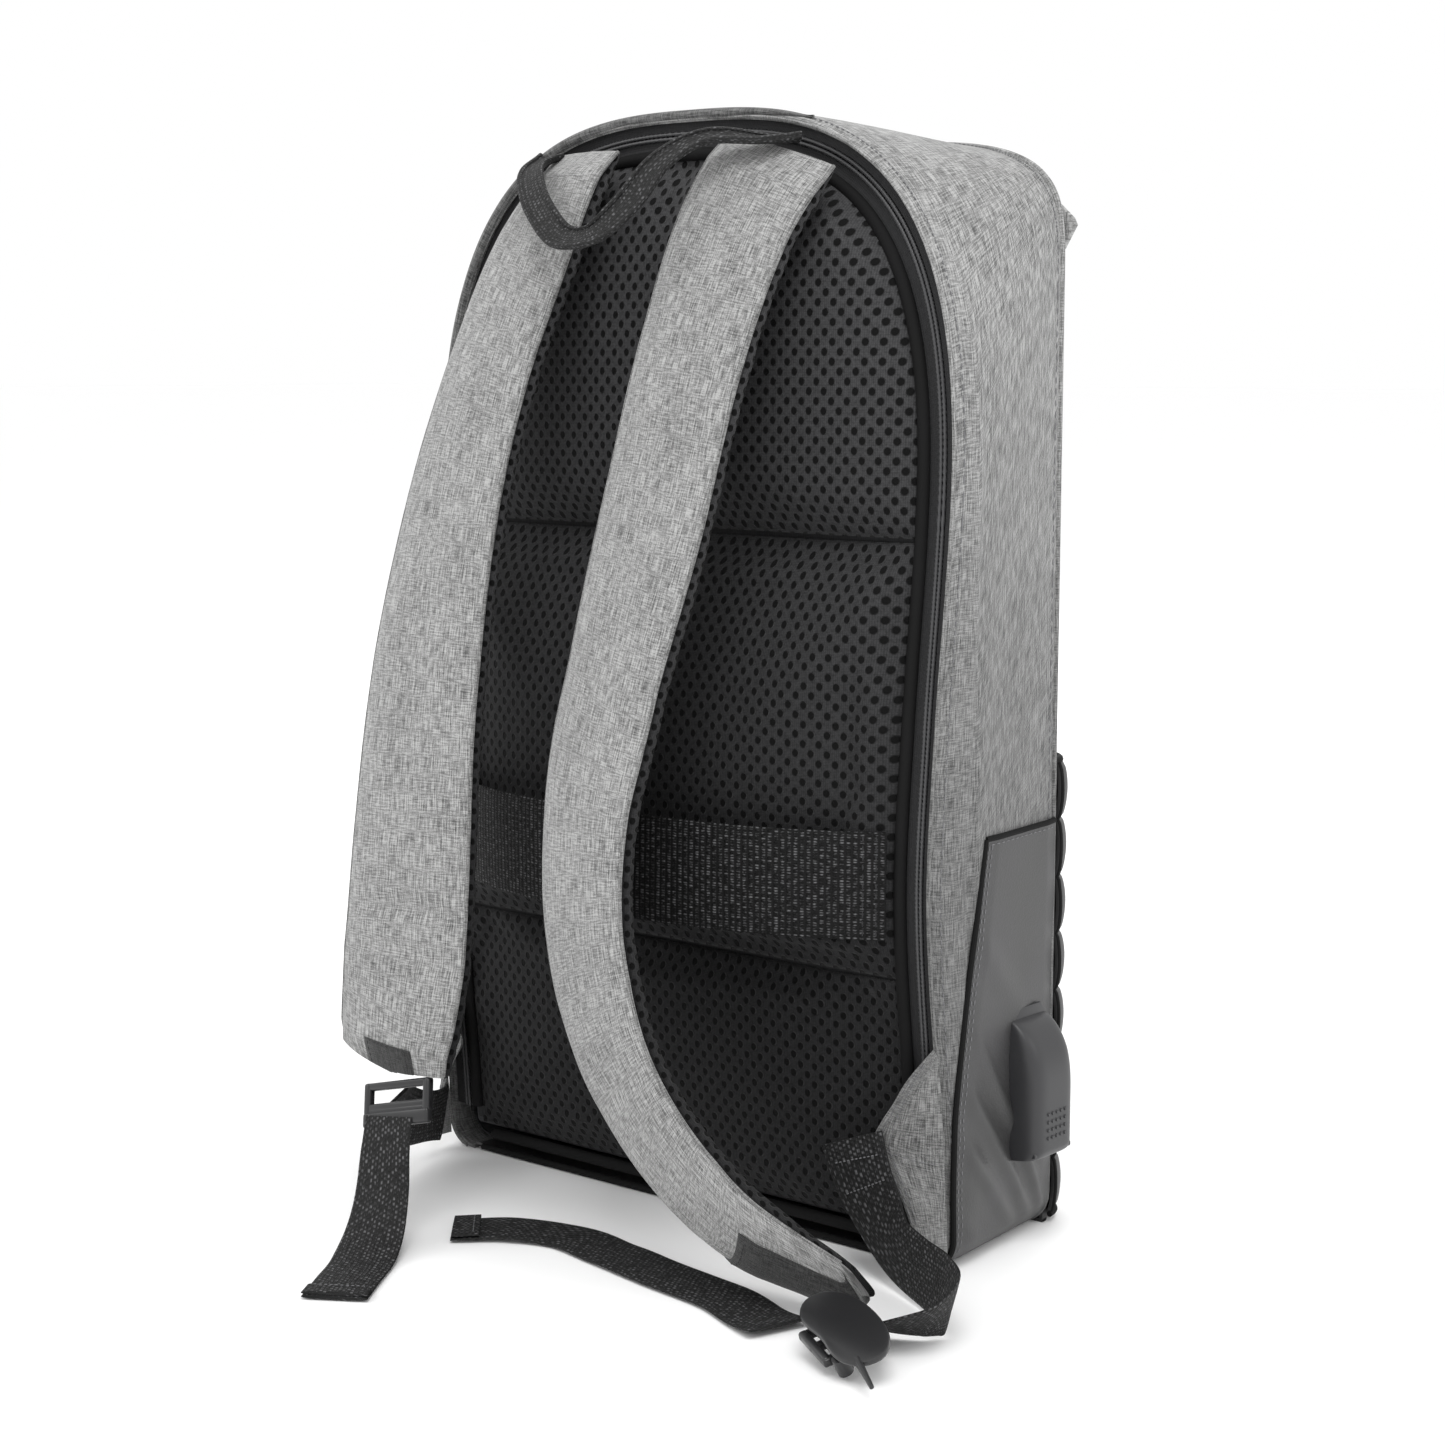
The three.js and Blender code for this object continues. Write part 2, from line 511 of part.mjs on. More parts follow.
// ---------------------------------------------------------------- charging port on the left side
const sideTaper = (BAG.half - FRONT.half) / (BAG.fullDepth - FRONT.y);
const sideX = -(FRONT.half + sideTaper * (USB.y + USB.width / 2 - FRONT.y)) - GAP;
const mouthX = sideX - USB.proud / 2 - 0.4;
const housingProfile = [
  [sideX, USB.top], [sideX - 0.4 * USB.proud, USB.top - 4], [sideX - 0.75 * USB.proud, USB.top - 14],
  [sideX - USB.proud + 1, USB.top - 26], [sideX - USB.proud, USB.top - 38],
  [sideX - USB.proud, USB.bottom + 4], [sideX - USB.proud + 2, USB.bottom], [sideX, USB.bottom],
];
const housingPlan = [
  [-USB.width / 2, 0], [-USB.width / 2 + 2, -USB.proud * 0.6], [-USB.width / 2 + 7, -USB.proud],
  [USB.width / 2 - 7, -USB.proud], [USB.width / 2 - 2, -USB.proud * 0.6], [USB.width / 2, 0],
].map(([y, x]) => [sideX + x, USB.y + y]);
const socketBox = (grow, z0, z1) => block(
  mouthX - SOCKET.y / 2 - grow, mouthX + SOCKET.y / 2 + grow,
  USB.y - SOCKET.x / 2 - grow, USB.y + SOCKET.x / 2 + grow, z0, z1
);
const shellZ = USB.bottom + USB.recess;
const shellTop = shellZ + USB.shell;
const housingForm = meet(
  prismY(housingProfile, USB.y - USB.width / 2, USB.y + USB.width / 2),
  prismZ(housingPlan, USB.bottom - 1, USB.top + 1)
);
const socketRoom = socketBox(SOCKET.wall + GAP, USB.bottom - 1, shellTop + GAP);
place("usb_housing", cut(housingForm, socketRoom), "plastic");
place(
  "usb_socket_shell",
  cut(socketBox(SOCKET.wall, shellZ, shellTop), socketBox(0, shellZ - 1, shellTop - SOCKET.wall)),
  "metal"
);
place(
  "usb_tongue",
  block(
    mouthX - SOCKET.tongue / 2, mouthX + SOCKET.tongue / 2,
    USB.y - SOCKET.tongueWide / 2, USB.y + SOCKET.tongueWide / 2,
    shellZ + 1, shellTop - SOCKET.wall - GAP
  ),
  "plastic"
);
const plateX = sideX + BAG.wall + 3 * GAP + LINING + PLATE.aside;
place(
  "usb_backing_plate",
  block(plateX, plateX + PLATE.thick, USB.y - PLATE.behind, USB.y + PLATE.ahead, PLATE.from, PLATE.to),
  "plastic"
);
const leadX = plateX + PLATE.thick + GAP + LEAD.radius;
const usbPlugY = USB_PLUG.y + USB_PLUG.width / 2;
place(
  "usb_lead",
  tube([
    [leadX, USB.y, 62], [leadX, USB.y, 100], [leadX + 1, USB.y + 2, 150], [leadX + 2, USB.y + 8, 186],
    [leadX + 3, 2, 196], [leadX + 3, usbPlugY, 184], [leadX + 3, usbPlugY, USB_PLUG.top + GAP],
  ], LEAD.radius, LEAD.sides, 40),
  "webbing"
);
const plugBlock = ({ width, thick, long, top, y }, x) => block(x, x + thick, y, y + width, top - long, top);
place("usb_plug", plugBlock(USB_PLUG, leadX - 1), "plastic");

// Charge regulator behind the solar flap, with its lead to the power bank.
const wallFace = FRONT.y + BAG.wall + LINING + 3 * GAP;
const regulatorSide = REGULATOR.x - REGULATOR.width / 2;
place(
  "charge_regulator",
  block(
    regulatorSide, regulatorSide + REGULATOR.width, wallFace, wallFace + REGULATOR.thick,
    REGULATOR.z, REGULATOR.z + REGULATOR.height
  ),
  "plastic"
);
const regulatorZ = REGULATOR.z + REGULATOR.height / 2;
const regulatorY = wallFace + REGULATOR.thick / 2;
const chargeY = CHARGE_PLUG.y + CHARGE_PLUG.width / 2;
place(
  "charge_lead",
  tube([
    [regulatorSide - GAP, regulatorY, regulatorZ], [regulatorSide - 20, regulatorY, regulatorZ],
    [leadX + 50, regulatorY - 1, 336], [leadX + 15, regulatorY + 2, 320],
    [leadX + 3, regulatorY + 10, 290], [leadX + 3, 8, 240], [leadX + 3, 22, 200],
    [leadX + 3, chargeY, 170], [leadX + 3, chargeY, CHARGE_PLUG.top + GAP],
  ], LEAD.radius, LEAD.sides, 56),
  "webbing"
);
place("charge_plug", plugBlock(CHARGE_PLUG, leadX), "plastic");

// ---------------------------------------------------------------- shoulder straps
// Height on a strap, from u = 0 at its lower bend to u = 1 at the top seam.
const onStrap = (u) => STRAP.bend + (BAG.top - STRAP.seam - STRAP.bend) * u;
const wingX = BAG.half - 15;
const luggageOut = luggageY + luggageBow + LUGGAGE.thick; // the straps run outside the luggage strap
const wingFace = backY(22) + wingProud + WING.thick + 4; // just outside the wing where the webbing starts
const toLock = (u) => 92 + (wingX - 92) * u; // across from the right ladder lock to the right wing
const straps = {
  left: {
    route: [
      [-52, 52, onStrap(1)], [-46, 63, onStrap(0.92)], [-40, 77, onStrap(0.775)],
      [-31, 90, onStrap(0.59)], [-20, luggageOut + 10, onStrap(0.405)],
      [-13, luggageOut + 19, onStrap(0.245)], [-19, luggageOut + 26, onStrap(0.087)],
      [-42, 120, 80], [-80, 119, 42], [-wingX, 115, 24],
    ],
    faces: [
      [0.1, 1, 0], [0.1, 1, 0], [0.15, 1, 0], [0.2, 1, 0], [0.3, 0.95, 0],
      [0.33, 0.94, 0], [0.33, 0.94, -0.05], [0.3, 0.93, -0.15], [0.25, 0.92, -0.25], [0.2, 0.92, -0.3],
    ],
    width: [[0, 58], [0.2, 62], [0.5, 70], [0.7, 66], [0.9, 50], [1, 38]],
    lock: { at: [-wingX - 36, 131, 13], toward: [-0.8, 0.58, -0.12], face: [0.3, 0.2, 0.9] },
    tail: [
      [-wingX - 4, 138, 3], [10 - wingX, 133, 1], [33 - wingX, 124, 0.8], [-60, 119, 0.8],
      [-25, 113, 0.8],
      [5, 109, 0.8], [30, 119, 1.6], [48, 134, 0.8],
    ],
    tailFaces: [[0, 0, 1], [0, 0, 1]],
    joining: [
      [-wingX, wingFace, 22], [-wingX - 11, 66, 13], [-wingX - 20, 78, 8], [-wingX - 24, 92, 7],
    ],
    joiningFaces: [[-0.3, 1, 0.2], [-0.4, 0.5, 0.8]],
  },
  right: {
    route: [
      [47, 54, onStrap(1)], [53, 65, onStrap(0.925)], [66, 77, onStrap(0.8)],
      [76, 90, onStrap(0.65)], [81, luggageOut + 11, onStrap(0.485)],
      [82, luggageOut + 21, onStrap(0.33)], [80, luggageOut + 29, onStrap(0.19)],
      [78, 127, onStrap(0.065)], [78, 133, 84], [77, 137, 66],
    ],
    faces: [[0.35, 0.93, 0], [0.25, 0.96, 0], [0.1, 1, 0], [0, 1, 0], [0, 1, 0]],
    width: [[0, 58], [0.3, 64], [0.5, 70], [0.8, 72], [1, 60]],
    lock: { at: [74, 143, 42], toward: [-0.12, 0.3, -0.95], face: [0, 0.95, 0.3] },
    tail: [
      [72, 151, 36], [68, 156, 24], [60, 165, 11], [50, 180, 3], [38, 198, 0.8], [25, 222, 0.8],
    ],
    tailFaces: [[0, 1, 0.4], [0, 0.8, 1], [0, 0, 1], [0, 0, 1]],
    joining: [[wingX, wingFace, 22], [toLock(0.72), 84, 26], [toLock(0.33), 112, 34], [toLock(0), 130, 42]],
    joiningFaces: [[0.3, 1, 0.2], [0.3, 0.6, 0.8]],
  },
};

// Piecewise-linear value of t from [t, value] pairs.
function profile(pairs) {
  return (t) => {
    const k = Math.max(1, pairs.findIndex(([at]) => t <= at + 1e-6));
    const [[t0, v0], [t1, v1]] = [pairs[k - 1], pairs[k]];
    return v0 + ((v1 - v0) * (t - t0)) / (t1 - t0);
  };
}

// Ladder lock: a flat frame with two slots, laid along a direction.
function ladderLock({ at, toward, face }) {
  const { length, width, thick, bar, slot } = LOCK;
  const inner = width / 2 - bar;
  const start = -length / 2 + bar;
  const frame = cut(
    block(-width / 2, width / 2, -thick / 2, thick / 2, -length / 2, length / 2),
    block(-inner, inner, -thick, thick, start, start + slot),
    block(-inner, inner, -thick, thick, start + slot + bar, start + 2 * slot + bar)
  );
  const ahead = new THREE.Vector3(...toward).normalize();
  const side = new THREE.Vector3().crossVectors(ahead, new THREE.Vector3(...face)).normalize();
  const out = new THREE.Vector3().crossVectors(side, ahead);
  const matrix = new THREE.Matrix4().makeBasis(side, out.negate(), ahead).setPosition(...at);
  return solid(geometryOf(frame).applyMatrix4(matrix));
}

for (const [name, strap] of Object.entries(straps)) {
  const width = profile(strap.width);
  const taper = profile([[0, 0.6], [0.06, 1], [0.9, 1], [1, 0.75]]);
  const section = { steps: STRAP.sections, across: STRAP.across };
  const padLow = GAP / 2;
  place(`strap_pad_${name}`, strip(strap.route, strap.faces, {
    ...section, width, thick: (t) => STRAP.pad * taper(t), low: () => padLow,
  }), "melange");
  place(`strap_mesh_${name}`, strip(strap.route, strap.faces, {
    ...section, width: (t) => width(t) - STRAP.hem, thick: (t) => STRAP.mesh * taper(t),
    low: (t) => -padLow - STRAP.mesh * taper(t),
  }), "mesh");
  place(`ladder_lock_${name}`, ladderLock(strap.lock), "plastic");
  const flat = { width: () => WEBBING.width, thick: () => WEBBING.thick, across: 1 };
  place(`webbing_tail_${name}`, strip(strap.tail, strap.tailFaces, { ...flat, steps: 16 }), "webbing");
  place(`wing_webbing_${name}`, strip(strap.joining, strap.joiningFaces, { ...flat, steps: 8 }), "webbing");
}

// ---------------------------------------------------------------- haul loop
const seam = BAG.top - 12;
place(
  "haul_loop",
  strip(
    [
      [-63, 41, seam - 1], [-50, 64, seam + 1], [-30, 80, seam - 6], [-5, 90, seam - 21],
      [22, 98, seam - 35], [46, 99, seam - 37], [66, 91, seam - 24], [75, 68, seam - 5], [75, 41, seam],
    ],
    [[0, -0.4, 1], [0, 0.5, 1], [0.1, 0.6, 0.9], [0.2, 0.4, 1], [0, -0.4, 1]],
    { width: () => HAUL.width, thick: () => HAUL.thick, steps: 26 }
  ),
  "webbing"
);

export default group;
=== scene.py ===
"""Solar backpack: the visible model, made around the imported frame.

Sizes are in millimetres, as in the part's own source; a mesh becomes metres when it turns into a piece.
+X is the right side seen from the front, +Y the harness side, +Z up, and the floor is z = 0.
"""

import json
import logging
import math
from dataclasses import dataclass, field
from enum import Enum
from typing import Callable, Iterable, Sequence, Union

import bmesh
import bpy
from mathutils import Matrix, Vector, noise
from mathutils.bvhtree import BVHTree

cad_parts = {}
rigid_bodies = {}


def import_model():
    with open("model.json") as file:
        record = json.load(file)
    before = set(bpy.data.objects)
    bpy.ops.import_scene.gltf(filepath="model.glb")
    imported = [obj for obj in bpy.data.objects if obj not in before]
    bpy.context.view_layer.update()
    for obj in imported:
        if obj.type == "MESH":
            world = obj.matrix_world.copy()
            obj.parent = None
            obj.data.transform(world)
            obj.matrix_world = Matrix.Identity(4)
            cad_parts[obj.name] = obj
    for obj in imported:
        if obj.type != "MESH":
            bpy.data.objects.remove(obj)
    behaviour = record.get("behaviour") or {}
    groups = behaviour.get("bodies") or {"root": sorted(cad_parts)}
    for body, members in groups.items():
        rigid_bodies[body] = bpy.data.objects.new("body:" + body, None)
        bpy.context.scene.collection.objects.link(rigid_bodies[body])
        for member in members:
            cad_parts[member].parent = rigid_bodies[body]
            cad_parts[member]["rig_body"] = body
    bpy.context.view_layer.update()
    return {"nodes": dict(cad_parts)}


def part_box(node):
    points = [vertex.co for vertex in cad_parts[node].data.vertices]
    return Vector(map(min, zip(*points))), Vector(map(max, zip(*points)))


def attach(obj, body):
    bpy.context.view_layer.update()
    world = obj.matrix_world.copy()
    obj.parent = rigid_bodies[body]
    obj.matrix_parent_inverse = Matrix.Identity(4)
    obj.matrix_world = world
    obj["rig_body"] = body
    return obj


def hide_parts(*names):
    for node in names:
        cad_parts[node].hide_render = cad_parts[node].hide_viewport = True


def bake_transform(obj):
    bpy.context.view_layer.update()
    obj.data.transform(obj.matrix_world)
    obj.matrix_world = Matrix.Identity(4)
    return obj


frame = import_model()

MM = 0.001
Triple = tuple[float, float, float]
Place = Callable[[float, float], Vector]
Value = Union[float, Sequence[float], bpy.types.NodeSocket]
log = logging.getLogger("backpack")


class Body(Enum):
    """The moving bodies of the frame."""

    BAG = "bag"
    BACK = "back_panel"
    FLAP = "flap"
    LEFT = "left_strap"
    RIGHT = "right_strap"
    HAUL = "haul_handle"
    SLIDER_UPPER = "slider_upper"
    SLIDER_LOWER = "slider_lower"
    PULL_UPPER = "pull_upper"
    PULL_LOWER = "pull_lower"


class Source(Enum):
    """What a pattern is laid out on: the piece's own map, in metres, or its place in the frame."""

    SURFACE = "UV"
    PLACE = "Object"


# ------------------------------------------------------------------ small sums
def lerp(a: float, b: float, t: float) -> float:
    """The value a share t of the way from a to b."""
    return a + (b - a) * t


def clamp(value: float, low: float = 0.0, high: float = 1.0) -> float:
    """The value kept between low and high."""
    return max(low, min(high, value))


def bell(t: float, centre: float, spread: float) -> float:
    """A smooth hump that is 1 at its centre and fades over its spread."""
    return math.exp(-(((t - centre) / spread) ** 2))


def signed_power(value: float, power: float) -> float:
    """The value raised to a power, with its sign kept."""
    return math.copysign(abs(value) ** power, value)


def soft(point: Vector, size: float, seed: float = 0.0) -> float:
    """Smooth unevenness between about -1 and 1, the same on every run.

    Args:
        point: Where, in millimetres.
        size: How wide one swell is, in millimetres.
        seed: Moves the pattern, so that two pieces differ.

    Returns:
        The height of the unevenness there.
    """
    return noise.noise(point / size + Vector((seed, seed * 0.7, seed * 1.3)))


def stepped(pairs: Sequence[tuple[float, float]]) -> Callable[[float], float]:
    """A value that runs straight from one (place, value) pair to the next."""

    def value(t: float) -> float:
        """The value at place t."""
        for (t0, v0), (t1, v1) in zip(pairs, pairs[1:]):
            if t <= t1:
                return lerp(v0, v1, clamp((t - t0) / (t1 - t0)))
        return pairs[-1][1]

    return value


def hermite(p1: Vector, p2: Vector, out: Vector, into: Vector, t: float) -> Vector:
    """The point a share t of the way along a cubic from p1 to p2 with those end slopes."""
    c2 = 3 * (p2 - p1) - 2 * out - into
    c3 = 2 * (p1 - p2) + out + into
    return p1 + out * t + c2 * t * t + c3 * t * t * t


class Curve:
    """A smooth curve through points, centripetal as the part's own routes are."""

    def __init__(self, points: Iterable[Triple]) -> None:
        """Keeps the points.

        Args:
            points: The points it passes through, in millimetres.
        """
        self.points = [Vector(p) for p in points]

    def at(self, t: float) -> Vector:
        """The point a share t of the way along."""
        p = self.points
        last = len(p) - 1
        k = min(int(clamp(t) * last), last - 1)
        before = p[k - 1] if k else 2 * p[0] - p[1]
        after = p[k + 2] if k + 2 <= last else 2 * p[last] - p[last - 1]
        a, b, c = (
            max((q - r).length_squared ** 0.25, 1e-4)
            for q, r in ((p[k], before), (p[k + 1], p[k]), (after, p[k + 1]))
        )
        out = ((p[k] - before) / a - (p[k + 1] - before) / (a + b) + (p[k + 1] - p[k]) / b) * b
        into = ((p[k + 1] - p[k]) / b - (after - p[k]) / (b + c) + (after - p[k + 1]) / c) * b
        return hermite(p[k], p[k + 1], out, into, clamp(t) * last - k)

    def slope(self, t: float) -> Vector:
        """The curve's direction there."""
        step = 1e-4
        return (self.at(min(t + step, 1)) - self.at(max(t - step, 0))).normalized()


@dataclass
class Route:
    """A flat strap's middle line, with the way that its outer face looks along it."""

    points: Sequence[Triple]
    faces: Sequence[Triple]

    def __post_init__(self) -> None:
        """Makes the two curves."""
        self.line = Curve(self.points)
        self.facing = Curve(self.faces)

    def place(self, t: float, across: float, out: float) -> Vector:
        """A point beside the middle line.

        Args:
            t: The share of the way along.
            across: Millimetres sideways.
            out: Millimetres towards the outer face.

        Returns:
            The point.
        """
        ahead = self.line.slope(t)
        side = ahead.cross(self.facing.at(t)).normalized()
        return self.line.at(t) + side * across + side.cross(ahead) * out


# ------------------------------------------------------------------ materials
class Graph:
    """A material's nodes, with one short call for each kind that the finishes use."""

    def __init__(self, name: str, source: Source = Source.SURFACE) -> None:
        """Starts a material.

        Args:
            name: The material's name.
            source: What its patterns are laid out on.
        """
        self.material = bpy.data.materials.new(name)
        self.material.use_nodes = True
        self.tree = self.material.node_tree
        self.shader = self.tree.nodes["Principled BSDF"]
        self.source = source

    def node(self, kind: str, *values: Value, **settings: object) -> bpy.types.Node:
        """A new node.

        Args:
            kind: The node's type, without its "ShaderNode" start.
            values: What goes into its sockets, in their order.
            settings: The node's own options.

        Returns:
            The node.
        """
        made = self.tree.nodes.new("ShaderNode" + kind)
        for key, value in settings.items():
            setattr(made, key, value)
        for socket, value in zip(made.inputs, values):
            self.put(socket, value)
        return made

    def put(self, socket: bpy.types.NodeSocket, value: Value) -> None:
        """Links a value that comes from a node, or sets a plain one."""
        if isinstance(value, bpy.types.NodeSocket):
            self.tree.links.new(value, socket)
        else:
            socket.default_value = value

    def place(self, scale: Triple) -> bpy.types.NodeSocket:
        """The pattern's coordinates, each multiplied by its scale."""
        where = self.node("TexCoord").outputs[self.source.value]
        if self.source is Source.PLACE:
            scale = (scale[0], scale[2], scale[1])
        return self.node("Mapping", where, (0, 0, 0), (0, 0, 0), scale).outputs[0]

    def parts(self, scale: Triple) -> list[bpy.types.NodeSocket]:
        """The coordinates across and along the pattern, each by itself.

        On a piece's own map these are its first two; in the frame they are X and Z.
        """
        split = self.node("SeparateXYZ", self.place(scale)).outputs
        return [split[0], split[1] if self.source is Source.SURFACE else split[2]]

    def math(self, operation: str, *values: Value) -> bpy.types.NodeSocket:
        """One sum."""
        return self.node("Math", *values, operation=operation).outputs[0]

    def grain(self, scale: Triple, detail: float = 2.0, rough: float = 0.5) -> bpy.types.NodeSocket:
        """Noise with that many swells a metre each way."""
        made = self.node("TexNoise", self.place(scale))
        made.inputs["Scale"].default_value = 1.0
        made.inputs["Detail"].default_value = detail
        made.inputs["Roughness"].default_value = rough
        return made.outputs[0]

    def ease(self, value: Value, low: float, high: float, to: float = 1.0) -> bpy.types.NodeSocket:
        """Smoothly 0 below low and to above high."""
        made = self.node("MapRange", value, low, high, 0.0, to, interpolation_type="SMOOTHSTEP")
        return made.outputs[0]

    def tone(self, value: Value, *stops: tuple[float, Triple]) -> bpy.types.NodeSocket:
        """A colour for each value, from (value, colour) stops."""
        made = self.node("ValToRGB", value)
        bar = made.color_ramp.elements
        while len(bar) < len(stops):
            bar.new(0.5)
        for element, (at, colour) in zip(bar, stops):
            element.position = at
            element.color = (*colour, 1)
        return made.outputs[0]

    def shade(self, colour: Value, amount: Value) -> bpy.types.NodeSocket:
        """A colour made darker by an amount from 0 to 1."""
        made = self.node("Mix", data_type="RGBA", blend_type="MULTIPLY")
        self.put(made.inputs["Factor"], amount)
        self.put(made.inputs["A"], colour)
        made.inputs["B"].default_value = (0, 0, 0, 1)
        return made.outputs["Result"]

    def paint_shade_low(self, colour: Value, amount: float) -> bpy.types.NodeSocket:
        """A colour with painted shade: darker towards the floor, standing in for the shade that falls low on
        the bag.
        """
        height = self.node("SeparateXYZ", self.node("TexCoord").outputs["Object"]).outputs[2]
        return self.shade(colour, self.ease(height, 0.46, 0.08, amount))

    def raise_by(self, height: Value, millimetres: float) -> None:
        """Bumps the surface, over whatever bumps it already."""
        made = self.node("Bump")
        made.inputs["Strength"].default_value = 1.0
        made.inputs["Distance"].default_value = millimetres * MM
        self.put(made.inputs["Height"], height)
        normal = self.shader.inputs["Normal"]
        if normal.links:
            self.put(made.inputs["Normal"], normal.links[0].from_socket)
        self.put(normal, made.outputs[0])

    def rows(self, value: bpy.types.NodeSocket, pitch: float, shift: float = 0.0) -> bpy.types.NodeSocket:
        """Distance from the middle of the nearest row, from -0.5 to 0.5 of the pitch."""
        turned = self.math("ADD", self.math("DIVIDE", value, pitch * MM), shift)
        return self.math("SUBTRACT", self.math("FRACT", turned), 0.5)

    def finish(self, colour: Value, rough: Value, **sockets: float) -> bpy.types.Material:
        """Sets the shader's colour, roughness and any other sockets, and gives the material."""
        self.put(self.shader.inputs["Base Color"], colour)
        self.put(self.shader.inputs["Roughness"], rough)
        for name, value in sockets.items():
            self.shader.inputs[name.replace("_", " ")].default_value = value
        return self.material


@dataclass(frozen=True)
class Finish:
    """A finish: its name, the record's slot that it belongs to, and what it is laid out on."""

    name: str
    slot: str
    source: Source = Source.SURFACE

    def material(self) -> bpy.types.Material:
        """The finish's material, made once."""
        name = f"{self.name}_finish"
        return bpy.data.materials.get(name) or self.make(Graph(name, self.source))

    def make(self, graph: Graph) -> bpy.types.Material:
        """Builds the material in a graph; each kind of finish has its own."""
        raise NotImplementedError


@dataclass(frozen=True)
class Melange(Finish):
    """Two-tone polyester cloth, with pale and dark yarns both ways and slubs along the warp."""

    dark: float = 0.075
    light: float = 0.44
    yarn: float = 0.62
    slub: float = 8.0
    # Share of painted shade towards the floor; 0 paints none.
    low_shade: float = 0.0

    def make(self, graph: Graph) -> bpy.types.Material:
        """Streaks both ways over a plain weave."""
        fine, long = 1 / (self.yarn * MM), 1 / (self.slub * MM)
        warp = graph.grain((fine, long, 1), 1.0)
        weft = graph.grain((long * 1.4, fine, 1), 1.0)
        fibre = graph.grain((fine * 1.3, fine * 1.1, fine), 2.0, 0.7)
        cloud = graph.grain((55, 30, 30), 2.0)
        mixed = graph.math("ADD", graph.math("MULTIPLY", warp, 0.44), graph.math("MULTIPLY", weft, 0.34))
        mixed = graph.math("MULTIPLY_ADD", fibre, 0.30, mixed)
        mixed = graph.math("MULTIPLY_ADD", cloud, 0.10, mixed)
        tones = [lerp(self.dark, self.light, share) for share in (0, 0.42, 1)]
        colour = graph.tone(mixed, *((at, (t, t, t * 0.99)) for at, t in zip((0.45, 0.575, 0.70), tones)))
        # Painted shade: the cloth is darkened towards the floor by that share.
        colour = graph.paint_shade_low(colour, self.low_shade)
        across, along = graph.parts((1, 1, 1))
        ribs = graph.math("ABSOLUTE", graph.rows(across, self.yarn))
        picks = graph.math("ABSOLUTE", graph.rows(along, self.yarn))
        weave = graph.math("MAXIMUM", ribs, picks)
        graph.raise_by(graph.math("ADD", weave, graph.math("MULTIPLY", fibre, 1.1)), 0.16)
        return graph.finish(colour, 0.93, Sheen_Weight=0.22, Sheen_Roughness=0.5, Specular_IOR_Level=0.22)


@dataclass(frozen=True)
class SpacerMesh(Finish):
    """Black air mesh: a knitted net with staggered oval holes, the holes darkened with painted shade."""

    pitch: float = 6.8
    row: float = 7.8
    hole: tuple[float, float] = (1.5, 1.75)
    # The net's tone: black yarn, raised to carry painted sheen.
    net: float = 0.049
    # Share of painted shade towards the floor.
    low_shade: float = 0.6
    # The holes' tone: painted shade in the hollows of the knit.
    deep: float = 0.0012

    def make(self, graph: Graph) -> bpy.types.Material:
        """Two sets of ovals, half a pitch apart both ways."""
        across, along = graph.parts((1, 1, 1))
        reach = []
        for shift in (0.0, 0.5):
            dx = graph.math("MULTIPLY", graph.rows(across, self.pitch, shift), self.pitch / self.hole[0])
            dy = graph.math("MULTIPLY", graph.rows(along, self.row, shift), self.row / self.hole[1])
            squares = graph.math("MULTIPLY_ADD", dy, dy, graph.math("MULTIPLY", dx, dx))
            reach.append(graph.math("SQRT", squares))
        ring = graph.math("MINIMUM", *reach)
        solid = graph.ease(ring, 0.72, 1.12)
        knit = graph.math("ABSOLUTE", graph.rows(across, 0.85))
        purl = graph.math("ABSOLUTE", graph.rows(along, 0.65))
        loops = graph.math("MULTIPLY", knit, purl)
        fuzz = graph.grain((900, 900, 900), 2.0, 0.6)
        pale = graph.math("MULTIPLY_ADD", fuzz, 0.9, graph.math("MULTIPLY", loops, 2.0))
        lit = graph.math("MULTIPLY", pale, solid)
        net = (self.net * 1.45, self.net * 1.45, self.net * 1.5)
        # Painted shade in the holes and towards the floor, and painted sheen in the net's tone.
        tone = graph.paint_shade_low(graph.tone(lit, (0.0, (self.deep,) * 3), (0.9, net)), self.low_shade)
        graph.raise_by(graph.math("MULTIPLY_ADD", loops, 0.25, solid), 1.1)
        return graph.finish(tone, 0.88, Sheen_Weight=0.06, Sheen_Roughness=0.45, Specular_IOR_Level=0.2)


@dataclass(frozen=True)
class Webbing(Finish):
    """Black polypropylene webbing: ribs across it, in fine columns that catch the light."""

    rib: float = 1.9
    column: float = 1.35
    tone: float = 0.016
    glint: float = 0.085
    stagger: float = 0.5

    def make(self, graph: Graph) -> bpy.types.Material:
        """Short raised picks, every other column half a rib on."""
        across, along = graph.parts((1, 1, 1))
        odd = graph.math("ROUND", graph.math("FRACT", graph.math("DIVIDE", across, 2 * self.column * MM)))
        shifted = graph.math("MULTIPLY_ADD", odd, self.stagger * self.rib * MM, along)
        u = graph.math("ABSOLUTE", graph.rows(across, self.column))
        v = graph.math("ABSOLUTE", graph.rows(shifted, self.rib))
        pick = graph.math("MULTIPLY", graph.ease(u, 0.45, 0.2), graph.ease(v, 0.42, 0.12))
        fuzz = graph.grain((700, 260, 700), 2.0, 0.6)
        lit = graph.math("MULTIPLY", pick, graph.ease(fuzz, 0.42, 0.68))
        colour = graph.tone(lit, (0.0, (self.tone,) * 3), (1.0, (self.glint, self.glint, self.glint * 1.03)))
        graph.raise_by(graph.math("MULTIPLY_ADD", fuzz, 0.3, pick), 0.42)
        return graph.finish(colour, 0.72, Specular_IOR_Level=0.2)


